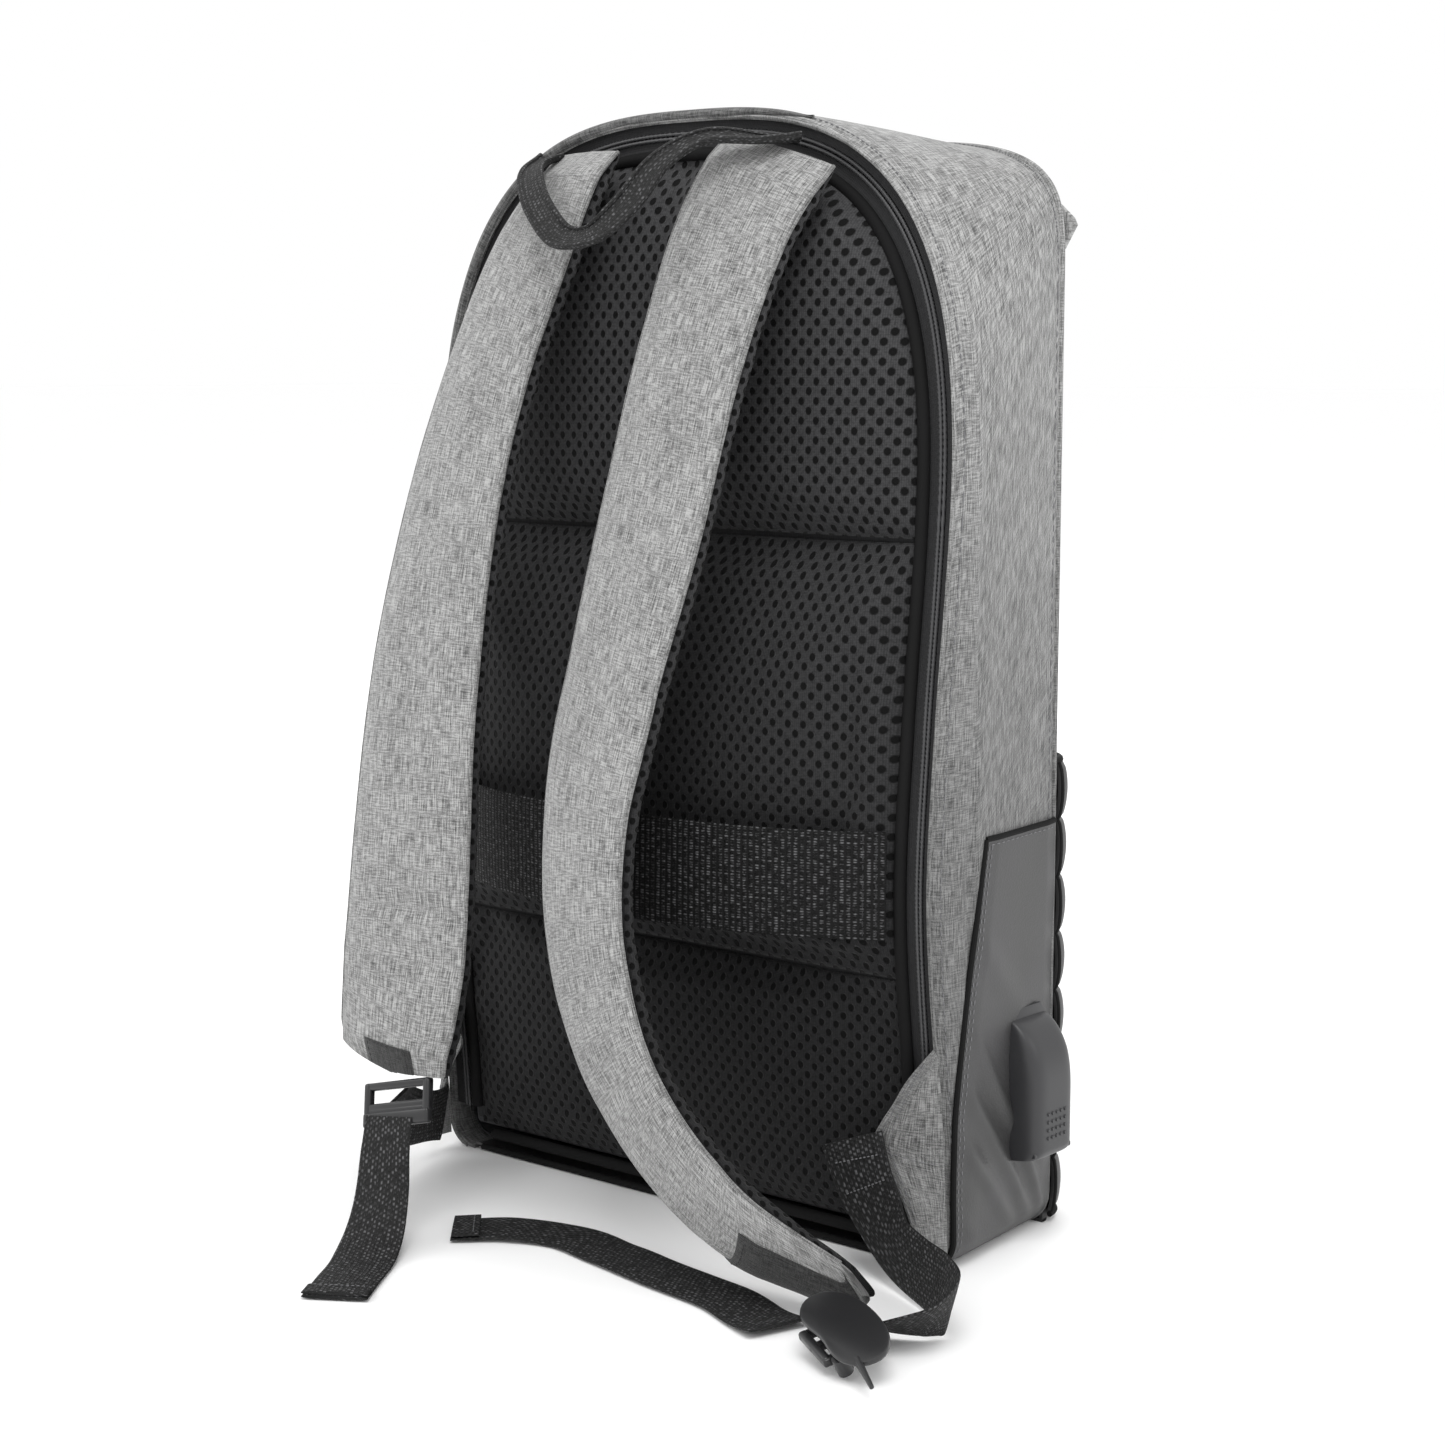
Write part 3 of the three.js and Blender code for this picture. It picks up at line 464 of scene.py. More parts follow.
@dataclass(frozen=True)
class Coated(Finish):
    """Soft charcoal artificial leather with a fine grain and slight wear."""

    tone: float = 0.052
    rough: float = 0.46
    grain_height: float = 0.10
    gloss: float = 0.5

    def make(self, graph: Graph) -> bpy.types.Material:
        """Pebbled grain with uneven gloss."""
        pebble = graph.node("TexVoronoi", graph.place((1500, 1500, 1500)), feature="SMOOTH_F1")
        pebble.inputs["Scale"].default_value = 1.0
        cloud = graph.grain((24, 24, 24), 3.0)
        worn = graph.ease(cloud, 0.35, 0.75)
        rubbed = (self.tone * 1.12, self.tone * 1.1, self.tone * 1.15)
        colour = graph.tone(worn, (0.0, (self.tone * 0.86,) * 3), (1.0, rubbed))
        graph.raise_by(pebble.outputs["Distance"], self.grain_height)
        rough = graph.math("MULTIPLY_ADD", cloud, 0.22, self.rough - 0.1)
        return graph.finish(colour, rough, Specular_IOR_Level=self.gloss)


@dataclass(frozen=True)
class Plastic(Finish):
    """Moulded plastic, finely sparked, with a faint change of gloss."""

    tone: Triple = (0.03, 0.03, 0.032)
    rough: float = 0.38

    def make(self, graph: Graph) -> bpy.types.Material:
        """Spark texture in bump and gloss."""
        spark = graph.grain((1900, 1900, 1900), 2.0, 0.6)
        cloud = graph.grain((35, 35, 35), 2.0)
        pale = tuple(t * 1.15 for t in self.tone)
        colour = graph.tone(cloud, (0.3, self.tone), (0.75, pale))
        graph.raise_by(spark, 0.03)
        return graph.finish(colour, graph.math("MULTIPLY_ADD", cloud, 0.2, self.rough - 0.1))


@dataclass(frozen=True)
class Metal(Finish):
    """Plated metal with fine brushing."""

    tone: Triple = (0.55, 0.56, 0.58)
    rough: float = 0.28

    def make(self, graph: Graph) -> bpy.types.Material:
        """Fine scratches in the gloss."""
        brushed = graph.grain((400, 2600, 400), 2.0)
        graph.raise_by(brushed, 0.012)
        rough = graph.math("MULTIPLY_ADD", brushed, 0.25, self.rough - 0.1)
        colour = graph.tone(brushed, (0.3, tuple(t * 0.85 for t in self.tone)), (0.7, self.tone))
        return graph.finish(colour, rough, Metallic=1.0)


@dataclass(frozen=True)
class Cloth(Finish):
    """Thin plain-woven cloth or felt: lining, binding, tape and touch fastener."""

    tone: Triple = (0.02, 0.02, 0.022)
    pitch: float = 0.6
    height: float = 0.12
    rough: float = 0.8

    def make(self, graph: Graph) -> bpy.types.Material:
        """A small even weave with a little fuzz."""
        across, along = graph.parts((1, 1, 1))
        u = graph.math("ABSOLUTE", graph.rows(across, self.pitch))
        v = graph.math("ABSOLUTE", graph.rows(along, self.pitch))
        weave = graph.math("ADD", u, v)
        fuzz = graph.grain((500, 500, 500), 2.0)
        dark, pale = (tuple(t * k for t in self.tone) for k in (0.6, 1.5))
        mixed = graph.math("MULTIPLY_ADD", fuzz, 0.6, graph.math("MULTIPLY", weave, 0.4))
        colour = graph.tone(mixed, (0.3, dark), (0.75, pale))
        graph.raise_by(graph.math("MULTIPLY_ADD", fuzz, 0.5, weave), self.height)
        return graph.finish(colour, self.rough, Sheen_Weight=0.1)


@dataclass(frozen=True)
class SolarCell(Finish):
    """Monocrystalline cell: blue-black silicon with fine fingers and silver busbars."""

    bar: float = 25.5
    finger: float = 1.6
    base: Triple = (0.002, 0.004, 0.016)
    silver: Triple = (0.32, 0.33, 0.35)

    def make(self, graph: Graph) -> bpy.types.Material:
        """Busbars up the cell and fingers across it."""
        across, along = graph.parts((1, 1, 1))
        bars = graph.ease(graph.math("ABSOLUTE", graph.rows(across, self.bar)), 0.030, 0.022)
        fingers = graph.ease(graph.math("ABSOLUTE", graph.rows(along, self.finger)), 0.09, 0.05, 0.35)
        cloud = graph.grain((60, 60, 60), 3.0, 0.6)
        silicon = graph.tone(cloud, (0.3, self.base), (0.75, (0.005, 0.010, 0.036)))
        mixed = graph.node("Mix", data_type="RGBA")
        graph.put(mixed.inputs["Factor"], graph.math("MAXIMUM", bars, fingers))
        graph.put(mixed.inputs["A"], silicon)
        mixed.inputs["B"].default_value = (*self.silver, 1)
        return graph.finish(mixed.outputs["Result"], 0.3, Specular_IOR_Level=0.12)


@dataclass(frozen=True)
class ClearFilm(Finish):
    """Clear film over the cells, with a faint orange-peel surface."""

    def make(self, graph: Graph) -> bpy.types.Material:
        """Glass-like film that lets the cells through."""
        graph.raise_by(graph.grain((40, 40, 40), 1.0), 0.02)
        cloud = graph.grain((20, 20, 20), 2.0)
        rough = graph.math("MULTIPLY_ADD", cloud, 0.04, 0.01)
        return graph.finish((0.98, 0.99, 1, 1), rough, Transmission_Weight=1.0, IOR=1.16)


MELANGE = Melange("melange", "melange_fabric")
# The side cloth, with painted shade towards the floor.
MELANGE_FLOOR_SHADED = Melange("melange_side", "melange_fabric", low_shade=0.55)
MELANGE_FLAP = Melange("melange_flap", "melange_fabric", Source.PLACE)
# A darker copy of the melange: painted shade for the low corner wings and the strap's turned edges.
MELANGE_SHADED = Melange("melange_lower", "melange_fabric", dark=0.05, light=0.30)
HEATHER = Melange("heather", "heather_trim", dark=0.022, light=0.19, slub=9.0)
TAB = Melange("heather_tab", "heather_trim", dark=0.008, light=0.055, slub=6.0)
AIR_MESH = SpacerMesh("air_mesh", "spacer_mesh", Source.PLACE)
STRAP_MESH = SpacerMesh("strap_air_mesh", "spacer_mesh", pitch=5.6, row=6.4, hole=(1.25, 1.5))
BAND = Webbing("webbing", "webbing", rib=2.4, column=1.8, tone=0.014, glint=0.13)
LUGGAGE_BAND = Webbing("luggage_webbing", "webbing", rib=2.7, column=1.1, tone=0.004, glint=0.13,
                       stagger=0.0)
HAUL_BAND = Webbing("haul_webbing", "webbing", rib=2.4, column=1.7, tone=0.022, glint=0.13)
COATED = Coated("coated", "coated_fabric", tone=0.046)
QUILTED = Coated("quilted_coated", "coated_fabric", tone=0.026, rough=0.5)
PIPING = Coated("black_piping", "coated_fabric", tone=0.008, rough=0.78, grain_height=0.06, gloss=0.15)
ZIP_TAPE = Cloth("zip_tape", "webbing", tone=(0.012, 0.012, 0.013), pitch=0.9)
ZIP_COIL = Plastic("zip_coil", "zip_coil", tone=(0.05, 0.05, 0.052), rough=0.34)
LINING = Cloth("lining", "lining", tone=(0.03, 0.03, 0.034), pitch=0.5, height=0.06, rough=0.62)
LOOP = Cloth("touch_fastener", "touch_fastener", tone=(0.014, 0.014, 0.015), pitch=1.3, height=0.5,
             rough=0.95)
BLACK_CLOTH = Cloth("black_binding", "lining", tone=(0.014, 0.014, 0.015), pitch=0.7)
PALE_THREAD = Cloth("pale_thread", "melange_fabric", tone=(0.20, 0.20, 0.20), pitch=0.3, height=0.03)
GREY_THREAD = Cloth("grey_thread", "coated_fabric", tone=(0.11, 0.11, 0.115), pitch=0.3, height=0.03)
BLACK_THREAD = Cloth("black_thread", "coated_fabric", tone=(0.012, 0.012, 0.013), pitch=0.3, height=0.03)
HOUSING = Plastic("port_housing", "moulded_plastic", tone=(0.026, 0.026, 0.028), rough=0.42)
BUCKLE = Plastic("buckle_plastic", "buckle_plastic", tone=(0.018, 0.018, 0.019), rough=0.28)
ZINC = Metal("dark_zinc", "zinc", tone=(0.11, 0.112, 0.12), rough=0.36)
STEEL = Metal("port_steel", "port_steel")
CELL = SolarCell("solar_silicon", "solar_cell", Source.PLACE)
FILM = ClearFilm("solar_film", "solar_cover", Source.PLACE)
PANEL_BACK = Plastic("panel_board", "panel_board", Source.PLACE, tone=(0.012, 0.013, 0.018), rough=0.34)
FOAM_BOARD = Plastic("foam_board", "eva_board", Source.PLACE, tone=(0.035, 0.035, 0.038), rough=0.75)
BLACK_PLASTIC = Plastic("black_plastic", "moulded_plastic", Source.PLACE, tone=(0.022, 0.022, 0.024),
                        rough=0.42)
CABLE = Plastic("cable_sheath", "moulded_plastic", Source.PLACE, tone=(0.016, 0.016, 0.017), rough=0.5)


# ------------------------------------------------------------------ making pieces
class Sheet:
    """A piece being made: a bmesh in millimetres, with a map laid out in metres."""

    def __init__(self) -> None:
        """Starts empty."""
        self.bm = bmesh.new()
        self.map = self.bm.loops.layers.uv.verify()

    def lay(self, across: int, along: int, place: Place, wrap: bool = False) -> "Sheet":
        """Adds a grid and lays it over a surface.

        Args:
            across: Squares across.
            along: Squares along.
            place: Gives the point for shares (across, along), each from 0 to 1.
            wrap: Joins edges that meet, as round a tube.

        Returns:
            This sheet.
        """
        made = bmesh.ops.create_grid(self.bm, x_segments=across, y_segments=along, size=0.5)
        cell = {v: (round((v.co.x + 0.5) * across), round((v.co.y + 0.5) * along)) for v in made["verts"]}
        spots = {key: place(key[0] / across, key[1] / along) for key in cell.values()}
        wide, long = [0.0], [0.0]
        for i in range(across):
            wide.append(wide[-1] + (spots[i + 1, along // 2] - spots[i, along // 2]).length * MM)
        for j in range(along):
            long.append(long[-1] + (spots[across // 2, j + 1] - spots[across // 2, j]).length * MM)
        for face in {f for v in cell for f in v.link_faces}:
            for loop in face.loops:
                i, j = cell[loop.vert]
                loop[self.map].uv = (wide[i], long[j])
        for vert, key in cell.items():
            vert.co = spots[key]
        if wrap:
            bmesh.ops.remove_doubles(self.bm, verts=list(cell), dist=1e-3)
        return self

    def facing(self, inside: Vector) -> "Sheet":
        """Turns the faces away from a point."""
        for face in self.bm.faces:
            face.normal_update()
        outward = sum(f.normal.dot(f.calc_center_median() - inside) * f.calc_area() for f in self.bm.faces)
        if outward < 0:
            bmesh.ops.reverse_faces(self.bm, faces=self.bm.faces[:])
        return self

    def closed(self) -> "Sheet":
        """Fills the open ends and turns every face outwards."""
        rim = [e for e in self.bm.edges if e.is_boundary]
        if rim:
            bmesh.ops.holes_fill(self.bm, edges=rim, sides=0)
        bmesh.ops.recalc_face_normals(self.bm, faces=self.bm.faces[:])
        return self

    def thick(self, amount: float) -> "Sheet":
        """Gives an open sheet a wall on its inner side."""
        bmesh.ops.solidify(self.bm, geom=self.bm.faces[:], thickness=amount)
        return self

    def block(self, low: Triple, high: Triple, round_by: float = 0.0, steps: int = 2) -> "Sheet":
        """Adds a block between two corners, with rounded edges."""
        made = bmesh.ops.create_cube(self.bm, size=1.0)["verts"]
        middle = (Vector(low) + Vector(high)) / 2
        bmesh.ops.scale(self.bm, verts=made, vec=Vector(high) - Vector(low))
        bmesh.ops.translate(self.bm, verts=made, vec=middle)
        if round_by:
            self.soften({e for v in made for e in v.link_edges}, round_by, steps)
        return self

    def soften(self, edges: Iterable[bmesh.types.BMEdge], by: float, steps: int = 2) -> None:
        """Rounds edges."""
        bmesh.ops.bevel(
            self.bm, geom=list(edges), offset=by, segments=steps, profile=0.5, affect="EDGES",
            offset_type="OFFSET", material=-1, clamp_overlap=True,
        )

    def rod(self, start: Vector, end: Vector, radius: float, sides: int = 12,
            end_radius: float = 0.0) -> "Sheet":
        """Adds a round rod, or a taper, between two points."""
        axis = end - start
        made = bmesh.ops.create_cone(
            self.bm, cap_ends=True, segments=sides, radius1=radius, radius2=end_radius or radius,
            depth=axis.length,
        )["verts"]
        turn = axis.to_track_quat("Z", "Y").to_matrix().to_4x4()
        bmesh.ops.transform(self.bm, matrix=Matrix.Translation((start + end) / 2) @ turn, verts=made)
        return self

    def outline(self, points: Sequence[Vector], depth: Vector, round_by: float = 0.0) -> "Sheet":
        """Adds a flat face through points and extrudes it into a plate.

        Args:
            points: Its corners, once round.
            depth: How far and which way it is extruded.
            round_by: How much its rims are rounded.

        Returns:
            This sheet.
        """
        face = self.bm.faces.new([self.bm.verts.new(p) for p in points])
        made = bmesh.ops.extrude_face_region(self.bm, geom=[face])["geom"]
        moved = [g for g in made if isinstance(g, bmesh.types.BMVert)]
        bmesh.ops.translate(self.bm, verts=moved, vec=depth)
        self.bm.normal_update()
        if round_by:
            ends = [face, *(g for g in made if isinstance(g, bmesh.types.BMFace))]
            rims = {e for f in ends for e in f.edges}
            self.soften(rims, round_by)
        return self

    def tube(self, line: Callable[[float], Vector], radius: float, steps: int, sides: int = 8,
             flat: float = 1.0, up: Triple = (0, 0, 1), beat: float = 0.0) -> "Sheet":
        """Adds a round or flattened tube along a line.

        Args:
            line: Gives the point at each share of the way.
            radius: Half its width.
            steps: Rings along it.
            sides: Points round it.
            flat: Its height as a share of its width.
            up: Which way its height points.
            beat: How deep its waist is every second ring, as a share.

        Returns:
            This sheet.
        """
        def place(u: float, v: float) -> Vector:
            """A point on the tube."""
            ahead = line(min(v + 1e-4, 1)) - line(max(v - 1e-4, 0))
            side = ahead.cross(Vector(up)).normalized()
            rise = side.cross(ahead).normalized()
            size = radius * (1 - beat * (round(v * steps) % 2))
            a = 2 * math.pi * u
            return line(v) + side * math.cos(a) * size + rise * math.sin(a) * size * flat

        return self.lay(sides, steps, place, wrap=True)

    def piece(self, name: str, body: Body, finish: Finish, *replaced: str,
              sharp: float = 40.0) -> bpy.types.Object:
        """Turns the sheet into a finished piece.

        Args:
            name: The piece's name.
            body: The body that it moves with.
            finish: Its finish.
            replaced: The frame's nodes that it stands for.
            sharp: Edges that bend more than this many degrees stay crisp.

        Returns:
            The piece.
        """
        bmesh.ops.scale(self.bm, verts=self.bm.verts[:], vec=(MM, MM, MM))
        for face in self.bm.faces:
            face.smooth = True
        mesh = bpy.data.meshes.new(name)
        self.bm.to_mesh(mesh)
        self.bm.free()
        mesh.set_sharp_from_angle(angle=math.radians(sharp))
        return settle(bpy.data.objects.new(name, mesh), body, finish, *replaced)


def settle(made: bpy.types.Object, body: Body, finish: Finish, *replaced: str) -> bpy.types.Object:
    """Links an object, dresses it and hangs it on its body.

    Args:
        made: The object.
        body: The body that it moves with.
        finish: Its finish.
        replaced: The frame's nodes that it stands for.

    Returns:
        The same object.
    """
    if made.name not in bpy.context.scene.collection.objects:
        bpy.context.scene.collection.objects.link(made)
    made.data.materials.clear()
    made.data.materials.append(finish.material())
    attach(made, body.value)
    if replaced:
        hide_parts(*replaced)
    log.info("%s on %s, %d faces", made.name, body.value, len(made.data.polygons))
    return made


def dress(finish: Finish, *nodes: str) -> None:
    """Gives the frame's own nodes a finish; their shapes are right as they are."""
    for name in nodes:
        node = frame["nodes"][name]
        node.data.materials.clear()
        node.data.materials.append(finish.material())


def stitches(lines: Iterable[Callable[[float], Vector]], name: str, body: Body, finish: Finish,
             length: float = 2.6, gap: float = 1.1, radius: float = 0.32) -> bpy.types.Object:
    """Sews rows of stitches, each one a small bead of thread half sunk in the cloth.

    Args:
        lines: One line for each row, giving the point at each share of the way.
        name: The piece's name.
        body: The body that it moves with.
        finish: The thread.
        length: One stitch.
        gap: Between stitches.
        radius: Half the thread.

    Returns:
        The piece.
    """
    sewn = Sheet()
    margin = 0.5 * gap / (length + gap)
    for line in lines:
        spots = [line(k / 200) for k in range(201)]
        total = sum((b - a).length for a, b in zip(spots, spots[1:]))
        count = max(1, round(total / (length + gap)))
        for k in range(count):
            start, end = (line((k + at) / count) for at in (margin, 1 - margin))
            axis = end - start
            made = bmesh.ops.create_icosphere(sewn.bm, subdivisions=1, radius=radius)["verts"]
            bmesh.ops.scale(sewn.bm, verts=made, vec=(1, 1, axis.length / radius / 2))
            turn = axis.to_track_quat("Z", "Y").to_matrix().to_4x4()
            bmesh.ops.transform(sewn.bm, matrix=Matrix.Translation((start + end) / 2) @ turn, verts=made)
    return sewn.piece(name, body, finish)


def band(route: Route, width: float, thick: float, steps: int, low: float = 0.0,
         curl: float = 0.0, seed: float = 0.0) -> Sheet:
    """A flat woven band along a route.

    Args:
        route: Where it runs.
        width: Its width.
        thick: Its thickness.
        steps: Sections along it.
        low: The inner face's offset.
        curl: How far its edges bend outwards.
        seed: Sets its slight waves.

    Returns:
        The sheet, closed.
    """
    corner = 0.5 * thick

    def place(u: float, v: float) -> Vector:
        """A point on the band, u once round its section."""
        a = 2 * math.pi * u
        x = signed_power(math.cos(a), 0.5) * width / 2
        y = corner + signed_power(math.sin(a), 0.7) * corner
        wave = 0.25 * soft(route.line.at(v), 17, seed) * bell(abs(x), width / 2, width / 3)
        return route.place(v, x, low + y + wave + curl * (2 * x / width) ** 2)

    return Sheet().lay(24, steps, place, wrap=True).closed()


# ------------------------------------------------------------------ the bag's form
FOOT_SHARE = 0.02
SIDE_SHARE = 0.276


@dataclass(frozen=True)
class Outline:
    """An arched outline that stands on the floor: straight sides, a squarish arch, rounded feet."""

    half: float
    top: float
    rise: float
    power: float
    foot: float = 14.0

    def at(self, s: float, grow: float = 0.0) -> tuple[float, float]:
        """A point on the outline.

        Args:
            s: 0 at the left foot, 0.5 at the crown, 1 at the right foot.
            grow: How far the outline is moved outwards.

        Returns:
            Its x and z.
        """
        side, spring = self.half + grow, self.top - self.rise
        radius = max(self.foot + grow, 2.0)
        t = min(s, 1 - s)
        if t < FOOT_SHARE:
            a = t / FOOT_SHARE * math.pi / 2
            x, z = side - radius + radius * math.sin(a), radius * (1 - math.cos(a)) - grow
        elif t < SIDE_SHARE:
            x, z = side, lerp(radius - grow, spring, (t - FOOT_SHARE) / (SIDE_SHARE - FOOT_SHARE))
        else:
            a = (t - SIDE_SHARE) / (0.5 - SIDE_SHARE) * math.pi / 2
            x = side * max(math.cos(a), 0.0) ** (2 / self.power)
            z = spring + (self.rise + grow) * math.sin(a) ** (2 / self.power)
        return (-x if s < 0.5 else x), z

    def half_at(self, z: float, grow: float = 0.0) -> float:
        """Half the outline's width at a height."""
        spring = self.top - self.rise
        up = clamp((z - spring) / (self.rise + grow)) ** (self.power / 2)
        return (self.half + grow) * max(math.cos(math.asin(up)), 0.0) ** (2 / self.power)


@dataclass(frozen=True)
class BagForm:
    """The bag's outer form: a front outline lofted to a larger one, cut off along the harness side."""

    back: Outline = Outline(143, 470, 170, 2.85)
    front: Outline = Outline(138, 458, 63, 4.5)
    front_y: float = -38.0
    full_y: float = 26.0
    profile: tuple[tuple[float, float], ...] = (
        (0, 40), (60, 45), (150, 54), (220, 50), (300, 42), (380, 38), (500, 32),
    )

    def back_y(self, z: float) -> float:
        """How far back the harness side lies at a height."""
        p = self.profile
        k = max(0, min(sum(z >= q[0] for q in p) - 1, len(p) - 2))
        beside = [(p[max(i - 1, 0)], p[min(i + 1, len(p) - 1)]) for i in (k, k + 1)]
        slopes = [(after[1] - before[1]) / (after[0] - before[0]) for before, after in beside]
        wide = p[k + 1][0] - p[k][0]
        ends = [Vector((q[1], 0, 0)) for q in (p[k], p[k + 1])]
        runs = [Vector((slope * wide, 0, 0)) for slope in slopes]
        return hermite(*ends, *runs, (z - p[k][0]) / wide).x

    def skin(self, s: float, y: float, grow: float = 0.0) -> Vector:
        """A point on the outer form at a depth."""
        share = clamp((y - self.front_y) / (self.full_y - self.front_y))
        (x0, z0), (x1, z1) = self.front.at(s, grow), self.back.at(s, grow)
        return Vector((lerp(x0, x1, share), y, lerp(z0, z1, share)))

    def side(self, y: float, z: float, grow: float = 0.0) -> float:
        """Half the bag's width at a depth and height below the arch."""
        share = clamp((y - self.front_y) / (self.full_y - self.front_y))
        half = lerp(self.front.half, self.back.half, share) + grow
        radius = self.back.foot + grow
        under = clamp(radius - z - grow, 0, radius)
        return half - radius + math.sqrt(radius * radius - under * under)

    def rim(self, s: float, inset: float, lift: float) -> Vector:
        """A point on the harness side, in from the outer edge and out from the back profile."""
        x, z = self.back.at(s, -inset)
        return Vector((x, self.back_y(z) + lift, z))

    def foot_of(self, z: float) -> float:
        """The share of the outline where its straight side is at a height."""
        spring = self.back.top - self.back.rise
        return lerp(FOOT_SHARE, SIDE_SHARE, (z - self.back.foot) / (spring - self.back.foot))

    def swell(self, point: Vector) -> float:
        """The bag's slight unevenness, the same for every skin that lies on it."""
        return 0.9 * soft(point, 70, 3.0) + 0.35 * soft(point, 26, 8.0)


FORM = BagForm()


# ------------------------------------------------------------------ the bag
@dataclass
class Shell:
    """The bag's cloth shell: gusset, front, base, lining, seam cords and the dark rim facing."""

    wall: float = 1.6
    seam_radius: float = 1.3
    hem_radius: float = 0.8
    lining_inset: float = 3.4
    rim_span: tuple[float, float] = (0.452, 0.80)

    def gusset_at(self, u: float, v: float) -> Vector:
        """The gusset from the front seam (u = 0) to its rear hem (u = 1), v round the arch."""
        rear = FORM.rim(v, 0, 0.8)
        y = lerp(FORM.front_y, rear.y, u)
        point = FORM.skin(v, y)
        away = Vector((point.x, 0, point.z - 200)).normalized()
        turned_in = 2.6 * clamp((u - 0.90) / 0.10) ** 2
        puff = 1.0 * math.sin(math.pi * u) + FORM.swell(point) * math.sin(math.pi * clamp(u, 0.02, 0.98))
        fold = -1.1 * bell(u, 0.74, 0.035) * clamp((420 - point.z) / 60)
        return point + away * (puff + fold - turned_in) * clamp(point.z / 30)

    def build(self) -> None:
        """Makes the shell's pieces."""
        middle = Vector((0, 0, 220))
        gusset = Sheet().lay(34, 300, self.gusset_at).facing(middle).thick(self.wall)
        gusset.piece("shell_gusset", Body.BAG, MELANGE_FLOOR_SHADED, "main_shell")
        self.front()
        self.base()
        self.rim()
        cords = (
            ("front_seam_cord", 0.0, 0.0, self.seam_radius),
            ("rear_hem_cord", 1.0, 0.2, self.hem_radius),
        )
        for name, edge, back, radius in cords:
            def seam(v: float, edge: float = edge, back: float = back) -> Vector:
                """The seam's line round the arch."""
                return self.gusset_at(edge, lerp(0.004, 0.996, v)) + Vector((0, back, 0))

            cord = Sheet().tube(seam, radius, 300, up=(0, 1, 0)).closed()
            cord.piece(name, Body.BAG, MELANGE_FLOOR_SHADED)
        rows = [lambda v, u=u: self.gusset_at(u, lerp(0.01, 0.99, v)) * 1.0009 for u in (0.045, 0.945)]
        stitches(rows, "gusset_stitches", Body.BAG, GREY_THREAD)
        self.lining()

    def front(self) -> None:
        """The front cloth between its seams, slightly crowned above the pocket."""
        def place(u: float, v: float) -> Vector:
            """From the left edge to the right, floor to crown."""
            s = lerp(0.0, 0.5, v)
            x, z = FORM.front.at(s)
            side = lerp(x, -x, u)
            crown = 1.1 * (1 - (2 * u - 1) ** 4) * clamp((z - 205) / 30) * clamp((455 - z) / 20)
            return Vector((side, FORM.front_y - crown, z))

        panel = Sheet().lay(40, 120, place).facing(Vector((0, 100, 220))).thick(self.wall)
        panel.piece("shell_front", Body.BAG, MELANGE)

    def base(self) -> None:
        """The coated base with its two seam cords."""
        def place(u: float, v: float) -> Vector:
            """From left to right, front to back, just off the floor and rounded at its edges."""
            depth = FORM.back_y(0) + 0.6
            y = lerp(FORM.front_y, depth, v)
            edge = clamp(min(v, 1 - v) * (depth - FORM.front_y) / 5)
            half = FORM.front.half - FORM.front.foot + 4
            x = lerp(-half, half, u)
            lift = clamp((abs(x) - half + 6) / 6) ** 2 * 0.8
            return Vector((x, y, 0.25 + 1.4 * (1 - edge) ** 2 + lift))

        base = Sheet().lay(40, 24, place).facing(Vector((0, 0, 100))).thick(1.2)
        base.piece("shell_base", Body.BAG, COATED)
        half = FORM.front.half - FORM.front.foot
        lines = [
            lambda t, y=y, r=r: Vector((lerp(-half, half, t), y, r + 0.2))
            for y, r in ((FORM.front_y, 1.5), (FORM.back_y(0), 1.5))
        ]
        cords = Sheet()
        for line in lines:
            cords.tube(line, 1.5, 60)
        cords.closed().piece("base_seam_cords", Body.BAG, PIPING)

    def rim(self) -> None:
        """Dark heather facing inside the hem, from the crown round the arch to the right side."""
        start, end = self.rim_span

        def place(u: float, v: float) -> Vector:
            """From the hem (u = 0) in to the zipper tape (u = 1)."""
            s = lerp(start, end, v)
            taper = clamp(v / 0.12) ** 0.6 * clamp((1 - v) / 0.25) ** 0.6
            inset = lerp(-0.9, -0.9 + 4.2 * taper, u)
            point = FORM.rim(s, inset, 0)
            return point + Vector((0, 0.9 + 1.5 * math.sin(math.pi * u) ** 0.7 + 0.3 * soft(point, 30, 5), 0))

        rim = Sheet().lay(12, 240, place).facing(Vector((0, -300, 250))).thick(0.9)
        rim.piece("rim_facing", Body.BAG, HEATHER, "rim_band")

    def lining(self) -> None:
        """The lining, a little inside the shell, open along the harness side."""
        def round_it(u: float, v: float) -> Vector:
            """Round the arch, front to back."""
            rear = FORM.rim(v, 0, -11)
            point = FORM.skin(v, lerp(FORM.front_y + self.lining_inset, rear.y, u), -self.lining_inset)
            away = Vector((point.x, 0, point.z - 200)).normalized()
            return point - away * (0.5 + 0.5 * soft(point, 24, 2)) * math.sin(math.pi * u)

        def flat(u: float, v: float) -> Vector:
            """Across the front, floor to crown."""
            x, z = FORM.front.at(v / 2, -self.lining_inset)
            ripple = 0.4 * soft(Vector((x * u, 0, z)), 30, 4) * math.sin(math.pi * u)
            return Vector((lerp(x, -x, u), FORM.front_y + self.lining_inset + ripple, z))

        def floor(u: float, v: float) -> Vector:
            """Across the floor, front to back."""
            half = FORM.front.half - FORM.front.foot
            y = lerp(FORM.front_y + self.lining_inset, FORM.back_y(0) - 11, v)
            return Vector((lerp(-half, half, u), y, self.lining_inset))

